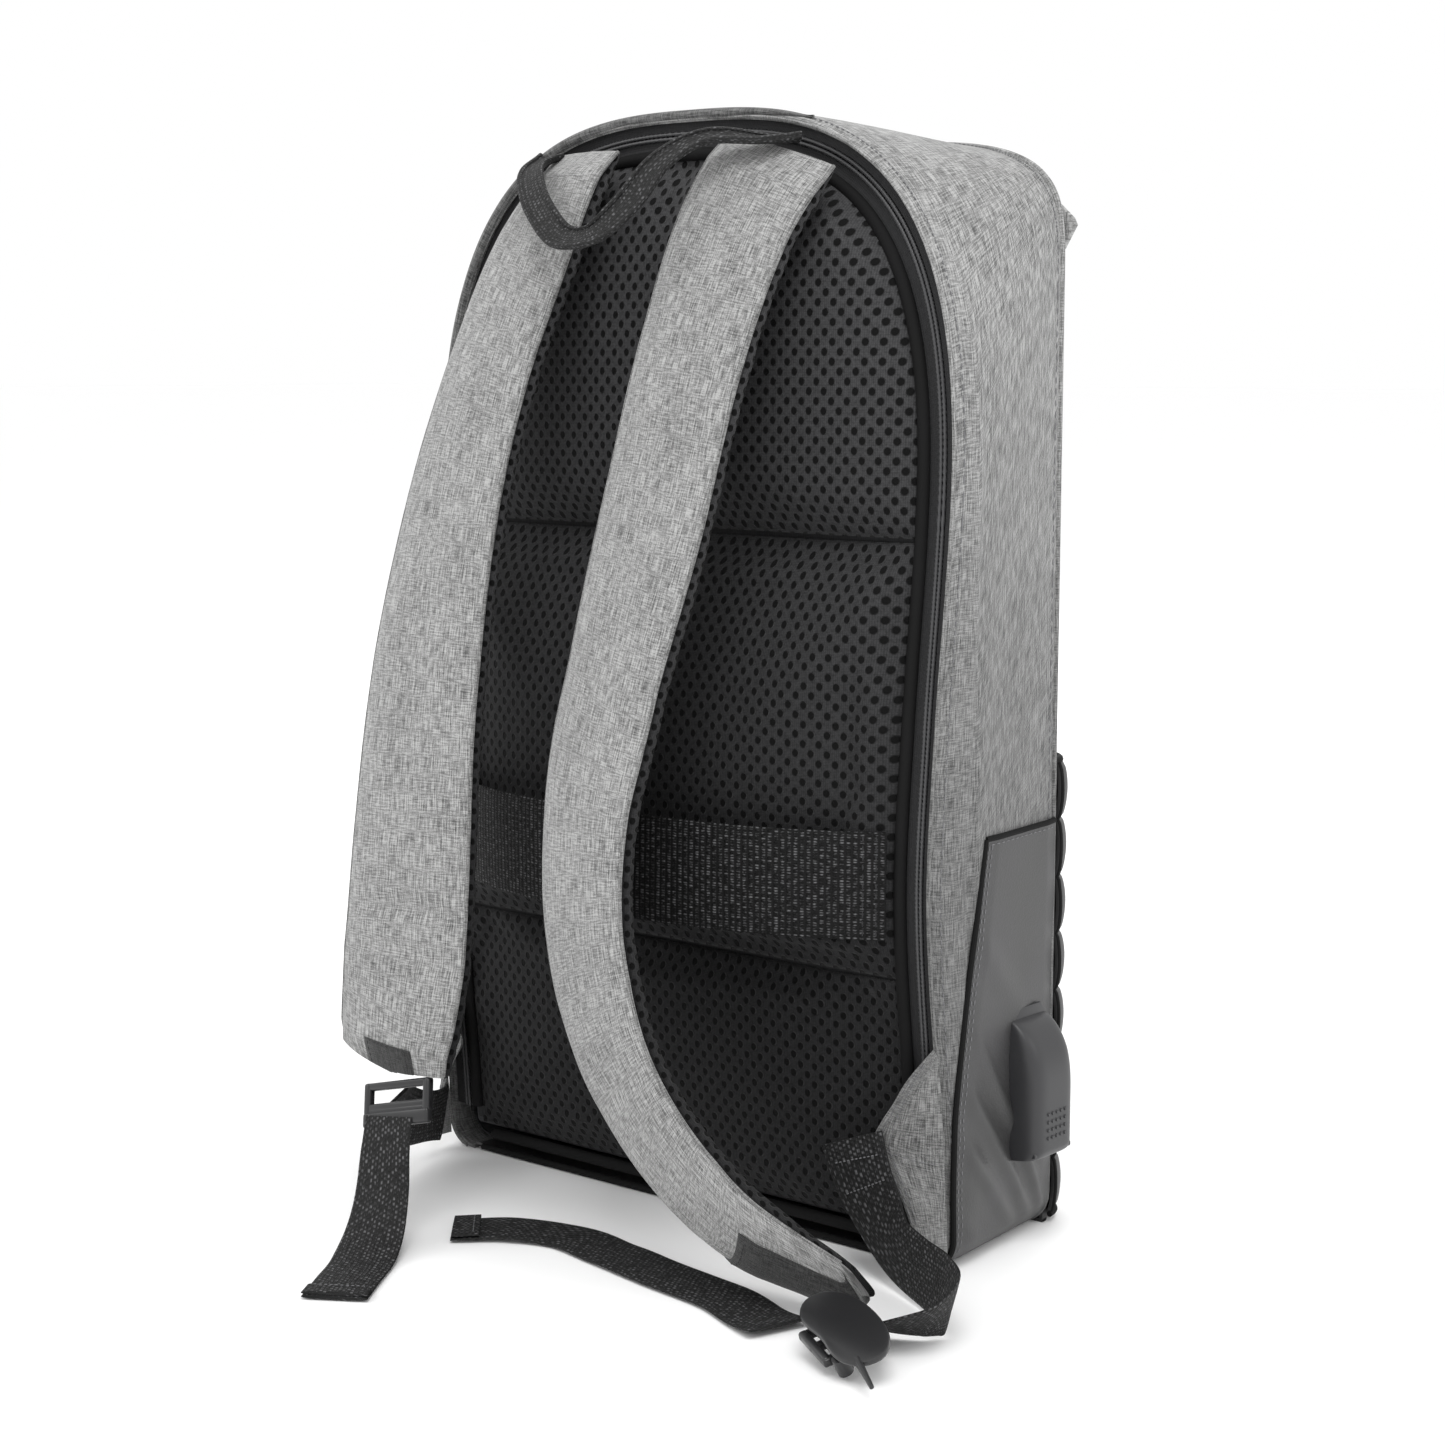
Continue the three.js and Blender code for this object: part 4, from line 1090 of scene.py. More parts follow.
        lining = Sheet().lay(14, 160, round_it).lay(24, 60, flat).lay(24, 8, floor)
        lining.facing(Vector((0, 0, 220))).thick(0.6).piece("bag_lining", Body.BAG, LINING, "main_lining")
        edge = Sheet().tube(lambda v: FORM.rim(lerp(0.02, 0.98, v), 3.4, -10.6), 1.1, 220, up=(0, 1, 0))
        edge.closed().piece("lining_binding", Body.BAG, BLACK_CLOTH)


@dataclass
class SidePanels:
    """Coated panels low on both sides, curved at the rear, with a bound seam and double stitching."""

    top: float = 176.0
    thick: float = 1.0
    grow: float = 1.1
    seam: Curve = field(default_factory=lambda: Curve([(40, 2, 0), (40, 30, 0), (31, 100, 0), (20, 176, 0)]))

    def rear(self, z: float) -> float:
        """How far back the panel reaches at a height."""
        return self.seam.at(clamp((z - 2) / (self.top - 2))).x

    def at(self, side: int, y: float, z: float, lift: float = 0.0) -> Vector:
        """A point on a panel, with its soft diagonal creases low down."""
        spot = Vector((FORM.side(y, z) * side, y, z))
        crease = 0.0
        for start, slope, deep in ((64, 1.5, 2.4), (40, 1.25, 2.2), (20, 1.1, 1.7), (-8, 0.9, 1.1)):
            lean = slope if side < 0 else 0.8 * slope
            off = z - start - lean * (y - 5)
            crease += deep * bell(off, 0, 6.0) * clamp((z - 4) / 18) * clamp((112 - z) / 60)
        crease += 1.2 * bell(z - 108 - 0.9 * (y + 4), 0, 9) * clamp((y + 30) / 40)
        near = clamp((self.rear(z) - y) / 10) * clamp((y + 37) / 7)
        puff = FORM.swell(spot) + 1.0 * near
        return spot + Vector((side * (self.grow + lift + puff * clamp(z / 30) + crease * near), 0, 0))

    def build(self) -> None:
        """Makes both panels, their bindings and their stitching."""
        for name, side in (("left", -1), ("right", 1)):
            def place(u: float, v: float, side: int = side) -> Vector:
                """From the front edge to the rear seam, floor to top."""
                z = lerp(0.6, self.top, v)
                return self.at(side, lerp(FORM.front_y + 0.4, self.rear(z), u), z)

            panel = Sheet().lay(48, 90, place).facing(Vector((0, 0, 80))).thick(self.thick)
            panel.piece(f"coated_side_{name}", Body.BAG, COATED, f"side_panel_{name}")
            edge = [
                lambda t, side=side: self.at(
                    side, self.rear(lerp(1.5, self.top, t)), lerp(1.5, self.top, t), -0.1
                ),
                lambda t, side=side: self.at(
                    side, lerp(self.rear(self.top), FORM.front_y + 0.6, t), self.top, -0.2
                ),
            ]
            binding = Sheet()
            for line in edge:
                binding.tube(line, 1.25, 90, up=(side, 0, 0))
            binding.closed().piece(f"side_binding_{name}", Body.BAG, PIPING)
            rows = [
                lambda t, side=side, off=off: self.at(
                    side, self.rear(lerp(3, 174, t)) - off, lerp(3, 174, t), 0.1
                )
                for off in (2.6, 4.8)
            ]
            rows.append(lambda t, side=side: self.at(
                side, lerp(FORM.front_y + 2, self.rear(174) - 3, t), 173.4, 0.1
            ))
            stitches(rows, f"side_stitches_{name}", Body.BAG, GREY_THREAD, radius=0.3)


@dataclass
class Zipper:
    """The zipper round the opening: two tapes, two rows of nylon teeth, two sliders with pulls."""

    start: float = 20.0
    tape_insets: tuple[float, float] = (0.9, 11.2)
    tape_widths: tuple[float, float] = (6.6, 4.4)
    coil_insets: tuple[float, float] = (8.4, 10.3)
    tooth: float = 1.05

    def build(self) -> None:
        """Makes the tapes, the teeth, the sliders and the pulls."""
        low = FORM.foot_of(self.start)

        def share(v: float) -> float:
            """The share of the outline a share v of the way round the zipper."""
            return lerp(low, 1 - low, v)

        sides = (("outer", Body.BAG), ("inner", Body.BACK))
        sizes = zip(sides, self.tape_insets, self.tape_widths, self.coil_insets)
        for (name, body), inset, width, coil in sizes:
            def tape(u: float, v: float, inset: float = inset, width: float = width) -> Vector:
                """A point on the tape."""
                return FORM.rim(share(v), inset + width * u, -2.6 - 0.5 * math.sin(math.pi * u))

            made = Sheet().lay(6, 260, tape).facing(Vector((0, -300, 220))).thick(0.8)
            made.piece(f"zipper_tape_{name}", body, ZIP_TAPE, f"zip_tape_{name}")
            teeth = round(1180 / self.tooth / 2) * 2
            row = Sheet().tube(
                lambda v, coil=coil: FORM.rim(share(v), coil, -2.2), 1.05, teeth, 6, 0.95, (0, 1, 0), 0.34
            )
            row.closed().piece(f"zipper_teeth_{name}", body, ZIP_COIL, f"zip_coil_{name}", sharp=80)
        for name in ("upper", "lower"):
            self.slider(name)

    def slider(self, name: str) -> None:
        """A cast slider with a bridge, and its tapered pull with grip ridges."""
        low, high = (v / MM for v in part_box(f"zip_slider_{name}"))
        middle = (low + high) / 2
        body = Sheet()
        body.block(low, (high.x, lerp(low.y, high.y, 0.5), high.z), 0.8, 3)
        body.block(
            (middle.x - 1.0, low.y + 1, middle.z - 3.2), (middle.x + 1.0, high.y, middle.z + 3.2), 0.7, 3
        )
        body.closed().piece(f"slider_{name}", Body(f"slider_{name}"), ZINC, f"zip_slider_{name}")
        low, high = (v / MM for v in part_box(f"zip_pull_{name}"))
        x, y = (low.x + high.x) / 2, low.y
        wide = (high.x - low.x) / 2
        turns = [math.pi * k / 12 for k in range(13)]
        tip = [Vector((x + wide * math.cos(a), y, low.z + wide - wide * math.sin(a))) for a in turns]
        neck = [Vector((x - 1.2, y, high.z - 0.4)), Vector((x + 1.2, y, high.z - 0.4))]
        pull = Sheet().outline([*tip, *neck], Vector((0, high.y - low.y, 0)), 0.35)
        grip = [(low.z + 4 + 2.2 * k) for k in range(5)]
        for z in grip:
            pull.block((x - wide * 0.7, high.y - 0.3, z), (x + wide * 0.7, high.y + 0.25, z + 1.0), 0.2, 2)
        pull.closed().piece(f"pull_tab_{name}", Body(f"pull_{name}"), ZINC, f"zip_pull_{name}")


# ------------------------------------------------------------------ the opening back panel
@dataclass
class BackPanel:
    """The padded harness side: three air-mesh pads, piping, luggage band and corner wings."""

    piping_inset: float = 17.4
    piping_radius: float = 2.7
    seams: dict[str, tuple[float, float]] = field(default_factory=lambda: {
        "lower": (12.0, 121.6), "middle": (118.6, 297.4), "upper": (294.0, 452.0),
    })
    seam_depth: float = -1.5
    roll: float = 17.0
    shrink: float = 1.6
    cell: float = 4.6
    cap: float = 5.0
    pressure: float = 4.0
    frames: int = 20

    def build(self) -> None:
        """Makes the back panel's pieces."""
        dress(FOAM_BOARD, "back_board")
        self.board_cloth()
        for level in ("lower", "middle", "upper"):
            self.pad(level)
        self.piping()
        self.luggage_band()
        for name, side in (("left", -1), ("right", 1)):
            self.wing(name, side)

    def board_cloth(self) -> None:
        """Mesh cloth behind the seams, so that no gap shows between the pads and the piping."""
        def place(u: float, v: float) -> Vector:
            """From edge to edge, bottom to crown."""
            x, z = FORM.back.at(lerp(0.012, 0.5, v), -14.5)
            x = lerp(x, -x, u)
            return Vector((x, FORM.back_y(z) - 3.2, z))

        cloth = Sheet().lay(30, 80, place).facing(Vector((0, -200, 200))).thick(0.8)
        cloth.piece("seam_cloth", Body.BACK, ZIP_TAPE)

    def pad(self, level: str) -> None:
        """One pad: a pillow with the frame's crown, swollen by a cloth simulation between its seams.

        Args:
            level: Which of the three.
        """
        node = frame["nodes"][f"back_pad_{level}"]
        bm = bmesh.new()
        bm.from_mesh(node.data)
        crown = BVHTree.FromBMesh(bm)
        bm.free()
        low, high = self.seams[level]
        arched = level == "upper"
        middle = Vector((0, 0, (low + high) / 2))
        grow = 3.0 - self.piping_inset - self.piping_radius

        def spot(u: float, v: float) -> tuple[Vector, float]:
            """A point on the pad's plan, and how far it is from the nearest seam."""
            z = lerp(low, high, math.sin(v * math.pi / 2) if arched else v)
            half = FORM.back.half_at(z, grow)
            x = half * (2 * u - 1)
            return Vector((x, 0, z)), min(half - abs(x), z - low, high - z)

        def place(u: float, v: float) -> Vector:
            """A point on the pad's outer side."""
            point, inside = spot(u, v)
            seen = middle + (point - middle) * 0.90
            found = crown.ray_cast(Vector((seen.x, 400, seen.z)) * MM, Vector((0, -1, 0)))[0]
            crest = found.y / MM - FORM.back_y(seen.z) if found else 3.0
            share = 1 - (1 - clamp(inside / self.roll)) ** 2.4
            depth = lerp(self.seam_depth, crest - self.shrink, share)
            return Vector((point.x, FORM.back_y(point.z) + depth, point.z))

        def under(u: float, v: float) -> Vector:
            """A point on the pad's flat inner side."""
            point = spot(u, v)[0]
            edge = min(u, 1 - u, v, 1 - v) < 1e-6
            return Vector((point.x, FORM.back_y(point.z) + (self.seam_depth if edge else -4.5), point.z))

        rows = round((high - low) / self.cell)
        pad = Sheet().lay(52, rows, place).lay(52, rows, under)
        bmesh.ops.remove_doubles(pad.bm, verts=pad.bm.verts[:], dist=0.02)
        bmesh.ops.recalc_face_normals(pad.bm, faces=pad.bm.faces[:])
        made = pad.piece(f"air_pad_{level}", Body.BACK, AIR_MESH, node.name, sharp=180)
        self.swell(made)
        rounding = made.modifiers.new("rounding", "SUBSURF")
        rounding.levels = rounding.render_levels = 1

    def swell(self, made: bpy.types.Object) -> None:
        """Swells a closed mesh with cloth pressure and keeps each point within the cap."""
        scene = bpy.context.scene
        rest = [v.co.copy() for v in made.data.vertices]
        cloth = made.modifiers.new("swell", "CLOTH")
        cloth.settings.use_pressure = True
        cloth.settings.uniform_pressure_force = self.pressure
        cloth.settings.effector_weights.gravity = 0.0
        cloth.settings.mass = 0.3
        cloth.point_cache.frame_start, cloth.point_cache.frame_end = 1, self.frames
        for step in range(1, self.frames + 1):
            scene.frame_set(step)
        bake(made)
        scene.frame_set(1)
        limit = self.cap * MM
        for vert, was in zip(made.data.vertices, rest):
            moved = vert.co - was
            if moved.length > limit:
                vert.co = was + moved.normalized() * limit
            if was.y < (FORM.back_y(was.z / MM) + self.seam_depth + 0.3) * MM:
                vert.co = was
        made.data.update()

    def piping(self) -> None:
        """Thick black piping round the pads."""
        def line(v: float) -> Vector:
            """The piping's middle."""
            point = FORM.rim(lerp(0.022, 0.978, v), self.piping_inset, -0.6)
            return point + Vector((0, 0.35 * soft(point, 40, 6), 0))

        cord = Sheet().tube(line, self.piping_radius, 260, 14, 0.92, (0, 1, 0)).closed()
        cord.piece("pad_piping", Body.BACK, PIPING, "back_piping")
        foot = Sheet().tube(
            lambda t: Vector((lerp(-116, 116, t), FORM.back_y(11) - 1.0, 9.5)), 2.6, 40, 12, 1.0, (0, 1, 0)
        )
        foot.closed().piece("pad_foot_piping", Body.BACK, PIPING)

    def luggage_band(self) -> None:
        """Ribbed band across the pads, bowed where a case handle goes behind it."""
        low, high = (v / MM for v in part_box("luggage_strap"))
        half, thick = (high.x - low.x) / 2, 1.7
        bow = high.y - low.y - thick

        def line(u: float) -> Vector:
            """The band's inner face across the back."""
            x = lerp(-half, half, u)
            return Vector((x, low.y + bow * (1 - abs(2 * u - 1) ** 2.4), 0))

        def place(u: float, v: float) -> Vector:
            """u once round the band's section, v across the back."""
            a = 2 * math.pi * u
            point = line(v)
            ahead = (line(min(v + 1e-3, 1)) - line(max(v - 1e-3, 0))).normalized()
            out = Vector((-ahead.y, ahead.x, 0))
            tall = signed_power(math.cos(a), 0.5) * (high.z - low.z) / 2
            ripple = 0.5 * soft(Vector((point.x, 0, tall)), 34, 7) * math.sin(math.pi * v)
            return point + out * (thick / 2 + signed_power(math.sin(a), 0.6) * thick / 2 + ripple) + Vector(
                (0, 0, (low.z + high.z) / 2 + tall)
            )

        made = Sheet().lay(36, 120, place, wrap=True).closed()
        made.piece("luggage_band", Body.BACK, LUGGAGE_BAND, "luggage_strap")
        rows = [
            lambda t, side=side, off=off: Vector((
                side * (half - off),
                line(1 - off / 2 / half).y + thick + 0.2,
                lerp(low.z + 1, high.z - 1, t),
            ))
            for side in (-1, 1) for off in (2.4, 7.0)
        ]
        stitches(rows, "luggage_stitches", Body.BACK, BLACK_THREAD, radius=0.4)

    def wing(self, name: str, side: int) -> None:
        """A three-cornered cloth wing from the piping to the lower webbing, seamed and stitched.

        Args:
            name: Which side, in words.
            side: -1 on the left, 1 on the right.
        """
        _, high = (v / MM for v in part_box(f"wing_{name}"))
        inner = [
            (-141, 8), (-136, 20), (-131, 33), (-124, 46), (-118, 56), (-121, 63), (-126, 71), (-132, 82),
            (-141, 95),
        ]
        edge = Curve([(x, 0, z) for x, z in inner])
        proud = FORM.back_y(22)

        def place(u: float, v: float) -> Vector:
            """From the free inner edge to the piping, bottom to top."""
            start = edge.at(v)
            x, z = lerp(start.x, -143.5, u), lerp(start.z, lerp(6, 92, v), u)
            out = lerp(high.y - proud - 3.4, 2.6, max(u ** 1.6, v ** 5))
            puff = 1.4 * math.sin(math.pi * u) * math.sin(math.pi * v) + 0.5 * soft(Vector((x, 0, z)), 22, 9)
            return Vector((-x * side, FORM.back_y(z) + out + puff, z))

        made = Sheet().lay(20, 36, place).facing(Vector((-side * 60, -100, 40))).thick(1.6)
        # The wing's darker melange is painted shade.
        made.piece(f"corner_wing_{name}", Body.BACK, MELANGE_SHADED, f"wing_{name}")
        rows = [lambda t, u=u: place(u, lerp(0.04, 0.96, t)) + Vector((0, 0.15, 0)) for u in (0.12, 0.30)]
        rows.append(lambda t: place(lerp(0.08, 0.92, t), 0.47) + Vector((0, 0.15, 0)))
        stitches(rows, f"wing_stitches_{name}", Body.BACK, GREY_THREAD, radius=0.3)


def bake(made: bpy.types.Object) -> None:
    """Applies a piece's modifiers to its mesh."""
    view = bpy.context.evaluated_depsgraph_get()
    mesh = bpy.data.meshes.new_from_object(made.evaluated_get(view))
    made.modifiers.clear()
    made.data = mesh


# ------------------------------------------------------------------ straps and handle
@dataclass
class Strap:
    """A padded shoulder strap: cloth face, air-mesh underside, heather tab, ladder lock and webbing."""

    name: str
    body: Body
    route: Route
    widths: Sequence[tuple[float, float]]
    tab: tuple[float, float]
    tab_across: float
    tail: Route
    joining: Route
    seed: float
    slant: float = 0.0
    creases: Sequence[tuple[float, float]] = ()
    seam_out: float = 4.4
    crown: float = 10.2
    under: float = -4.6
    webbing_width: float = 27.0
    webbing_thick: float = 1.5

    def half(self, t: float) -> float:
        """Half the strap's width there."""
        return stepped(self.widths)(t) / 2

    def reach(self, t: float, share: float) -> float:
        """Where a line along the strap has got to, so that its end is slanted and rounded."""
        return t - (self.slant * share + 0.022 * abs(share) ** 3) * clamp((t - 0.82) / 0.18)

    def fullness(self, t: float) -> float:
        """How full the padding is: it thins towards both sewn ends."""
        return stepped([(0, 0.35), (0.045, 1), (0.93, 1), (1, 0.5)])(t)

    def face(self, t: float, share: float, lift: float = 0.0) -> Vector:
        """A point on the outer face, share from -1 to 1 across."""
        crown = (self.crown - self.seam_out) * self.fullness(t) * (1 - abs(share) ** 3.4) ** 0.8
        t = self.reach(t, share)
        spot = self.route.place(t, share * self.half(t), 0)
        wave = 0.75 * soft(spot, 30, self.seed) + 0.3 * soft(spot, 11, self.seed + 4)
        fold = sum(deep * bell(t - 0.012 * share * share, at, 0.011) for at, deep in self.creases)
        inner = 1 - abs(share) ** 6
        return self.route.place(
            t, share * self.half(t), self.seam_out * self.fullness(t) + crown + (wave - fold) * inner + lift
        )

    def pad_at(self, u: float, v: float) -> Vector:
        """The face's section: over the crown, then flat back inside."""
        a = 2 * math.pi * u
        share = signed_power(math.cos(a), 0.62)
        if math.sin(a) >= 0:
            return self.face(v, share)
        drop = self.seam_out * self.fullness(v) - 1.1 * abs(math.sin(a)) ** 0.5
        v = self.reach(v, share)
        return self.route.place(v, share * (self.half(v) - 0.2), drop)

    def mesh_at(self, u: float, v: float) -> Vector:
        """The underside's section: bulging at both edges below the seam."""
        a = 2 * math.pi * u
        share = signed_power(math.cos(a), 0.6)
        full = self.fullness(v)
        top, low = (self.seam_out - 0.6) * full, self.under * full
        rise = signed_power(math.sin(a), 0.62)
        out = lerp((top + low) / 2, top if rise > 0 else low, abs(rise))
        v = self.reach(v, share)
        spot = self.route.place(v, share * self.half(v), 0)
        wave = 0.5 * soft(spot, 24, self.seed + 2) + 0.35 * math.sin(v * 150) * abs(share) ** 8
        return self.route.place(v, share * (self.half(v) - 0.7 + wave), out)

    def build(self) -> None:
        """Makes the strap's pieces."""
        pad = Sheet().lay(44, 170, self.pad_at, wrap=True).closed()
        made = pad.piece(f"strap_face_{self.name}", self.body, MELANGE, f"strap_pad_{self.name}", sharp=60)
        mesh = Sheet().lay(40, 170, self.mesh_at, wrap=True).closed()
        made = mesh.piece(
            f"strap_air_mesh_{self.name}", self.body, STRAP_MESH, f"strap_mesh_{self.name}", sharp=60
        )
        edges = Sheet()
        for side in (-1, 1):
            def edge(t: float, side: int = side) -> Vector:
                """The turned edge where the face meets the mesh."""
                out = self.seam_out * self.fullness(t) - 0.2
                t = self.reach(t, side)
                return self.route.place(t, side * (self.half(t) - 0.1), out)

            edges.tube(edge, 0.85, 150, 8)
        # The edges' darker melange is painted shade.
        edges.closed().piece(f"strap_edge_{self.name}", self.body, MELANGE_SHADED)
        self.heather_tab()
        rows = [lambda t: self.face(0.05, lerp(-0.8, 0.8, t), 0.1)]
        stitches(rows, f"strap_seam_stitches_{self.name}", self.body, PALE_THREAD)
        self.webbing()

    def heather_tab(self) -> None:
        """Dark heather tab sewn along the end of the face, running on into the lock."""
        start, end = self.tab
        wide = 14.0

        def place(u: float, v: float) -> Vector:
            """A point on the tab's outer side."""
            t = lerp(start, end, v)
            share = clamp((self.tab_across + lerp(-wide, wide, u)) / self.half(t), -0.98, 0.98)
            edge = 1 - abs(2 * u - 1) ** 6
            return self.face(t, share, 0.5 + 0.9 * edge * (1 - abs(2 * v - 1) ** 12))

        tab = Sheet().lay(14, 40, place)
        tab.facing(self.route.line.at((start + end) / 2)).thick(0.9)
        tab.piece(f"strap_tab_{self.name}", self.body, TAB)
        rows = [lambda t, u=u: place(u, lerp(0.05, 0.97, t)) for u in (0.1, 0.9)]
        rows.append(lambda t: place(lerp(0.1, 0.9, t), 0.06))
        stitches(rows, f"tab_stitches_{self.name}", self.body, BLACK_THREAD, length=1.8, gap=0.8)

    def webbing(self) -> None:
        """The adjusting webbing with its folded end, and the length from the wing to the lock."""
        tail = band(self.tail, self.webbing_width, self.webbing_thick, 110, seed=self.seed)
        fold = Route([self.tail.line.at(t) for t in (0.93, 0.965, 1.0)], [self.tail.facing.at(1)] * 3)
        lift = self.webbing_thick + 0.1
        tail.piece(f"webbing_end_{self.name}", self.body, BAND, f"webbing_tail_{self.name}")
        hem = band(fold, self.webbing_width, self.webbing_thick, 16, lift)
        hem.piece(f"webbing_hem_{self.name}", self.body, BAND)
        rows = [lambda t: fold.place(0.22, lerp(-11, 11, t), 2 * lift + 0.1)]
        name = f"webbing_hem_stitches_{self.name}"
        stitches(rows, name, self.body, GREY_THREAD, length=1.6, gap=0.7, radius=0.26)
        joining = band(self.joining, self.webbing_width, self.webbing_thick, 60, seed=self.seed + 1)
        joining.piece(f"lower_webbing_{self.name}", Body.BACK, BAND, f"wing_webbing_{self.name}")
        tack = [
            lambda t, at=at: self.joining.place(at, lerp(-10, 10, t), self.webbing_thick + 0.2)
            for at in (0.06, 0.14)
        ]
        stitches(tack, f"bar_tack_{self.name}", Body.BACK, GREY_THREAD, length=1.4, gap=0.5, radius=0.3)


@dataclass
class HaulLoop:
    """The carrying loop: ribbed webbing folded along its length, sewn in at the top seam."""

    width: float = 12.5
    thick: float = 2.6
    route: Route = field(default_factory=lambda: Route(
        [(-66, 45, 453), (-57, 57, 452.5), (-37, 68, 453.5), (-23, 79, 444), (-14, 89, 428), (-2, 96, 416),
         (16, 94, 415), (35, 86, 426), (53, 73, 439), (66, 58, 447), (69, 45, 452)],
        [(0, -0.2, 1), (-0.2, 0.5, 1), (-0.4, 0.7, 0.7), (0, 0.7, 0.8), (0.3, 0.6, 0.8), (0, -0.2, 1)],
    ))

    def build(self) -> None:
        """Makes the loop with its two raised edges."""
        loop = band(self.route, self.width, self.thick, 150, curl=0.9, seed=12)
        loop.piece("haul_webbing", Body.HAUL, HAUL_BAND, "haul_loop")
        edges = Sheet()
        for side in (-1, 1):
            edges.tube(
                lambda t, side=side: self.route.place(t, side * (self.width / 2 - 0.9), self.thick + 0.55),
                1.15, 150, 8, 0.8,
            )
        edges.closed().piece("haul_edges", Body.HAUL, HAUL_BAND)


@dataclass
class LadderLock:
    """A ladder lock at the end of a strap, in the frame's place, with its pull plate or bar."""

    name: str
    body: Body
    at: Triple
    ahead: Triple
    face: Triple
    oval: bool
    long: float
    bar: float = 1.7
    rail: float = 3.6
    frame_half: float = 19.0
    ring_half: tuple[float, float] = (13.5, 25.0)
    ring_waist: float = 3.5
    ring_steps: int = 40

    def basis(self) -> Matrix:
        """The lock's own axes: across, along, out."""
        along = Vector(self.ahead).normalized()
        side = along.cross(Vector(self.face)).normalized()
        turn = Matrix((side, along, side.cross(along))).transposed().to_4x4()
        return Matrix.Translation(Vector(self.at)) @ turn

    def pull_ring(self, lock: Sheet) -> None:
        """Adds the oval plate that is pulled to slacken the webbing, with its tongue and its knob.

        Args:
            lock: The sheet that the lock is made on.
        """
        rim = []
        for k in range(self.ring_steps):
            a = 2 * math.pi * k / self.ring_steps
            x = self.ring_half[0] * signed_power(math.cos(a), 0.9)
            y = self.ring_half[1] * signed_power(math.sin(a), 0.95)
            waist = self.ring_waist * bell(y, 0, 11) * (1 if x > 0 else 0)
            rim.append(Vector((x - waist, y, 4.0)))
        lock.outline(rim, Vector((0, 0, 2.6)), 1.1)
        lock.rod(Vector((5, 20, 5.4)), Vector((8, 37, 5.0)), 1.6, 10, 0.9)
        lock.rod(Vector((7, 12, -3.5)), Vector((9, 12, 3.5)), 3.2, 18, 2.8)

    def build(self) -> None:
        """Makes the frame with its bars, and the plate or bar that slackens the webbing."""
        lock = Sheet()
        half, long, bar = self.ring_half[0] if self.oval else self.frame_half, self.long, self.bar
        for y in (-long, -long + 9, long - 5):
            lock.block((-half, y - bar, -bar), (half, y + bar, bar), 1.0, 3)
        for x in (-half, half - self.rail):
            lock.block((x, -long - bar, -2.0), (x + self.rail, long - 4, 2.0), 1.2, 3)
        if self.oval:
            self.pull_ring(lock)
        else:
            lock.block((-half, long - 5, -1.6), (half, long + 1.5, 2.4), 1.3, 3)
        bmesh.ops.transform(lock.bm, matrix=self.basis(), verts=lock.bm.verts[:])
        bmesh.ops.recalc_face_normals(lock.bm, faces=lock.bm.faces[:])
        lock.piece(f"strap_lock_{self.name}", self.body, BUCKLE, f"ladder_lock_{self.name}", sharp=35)


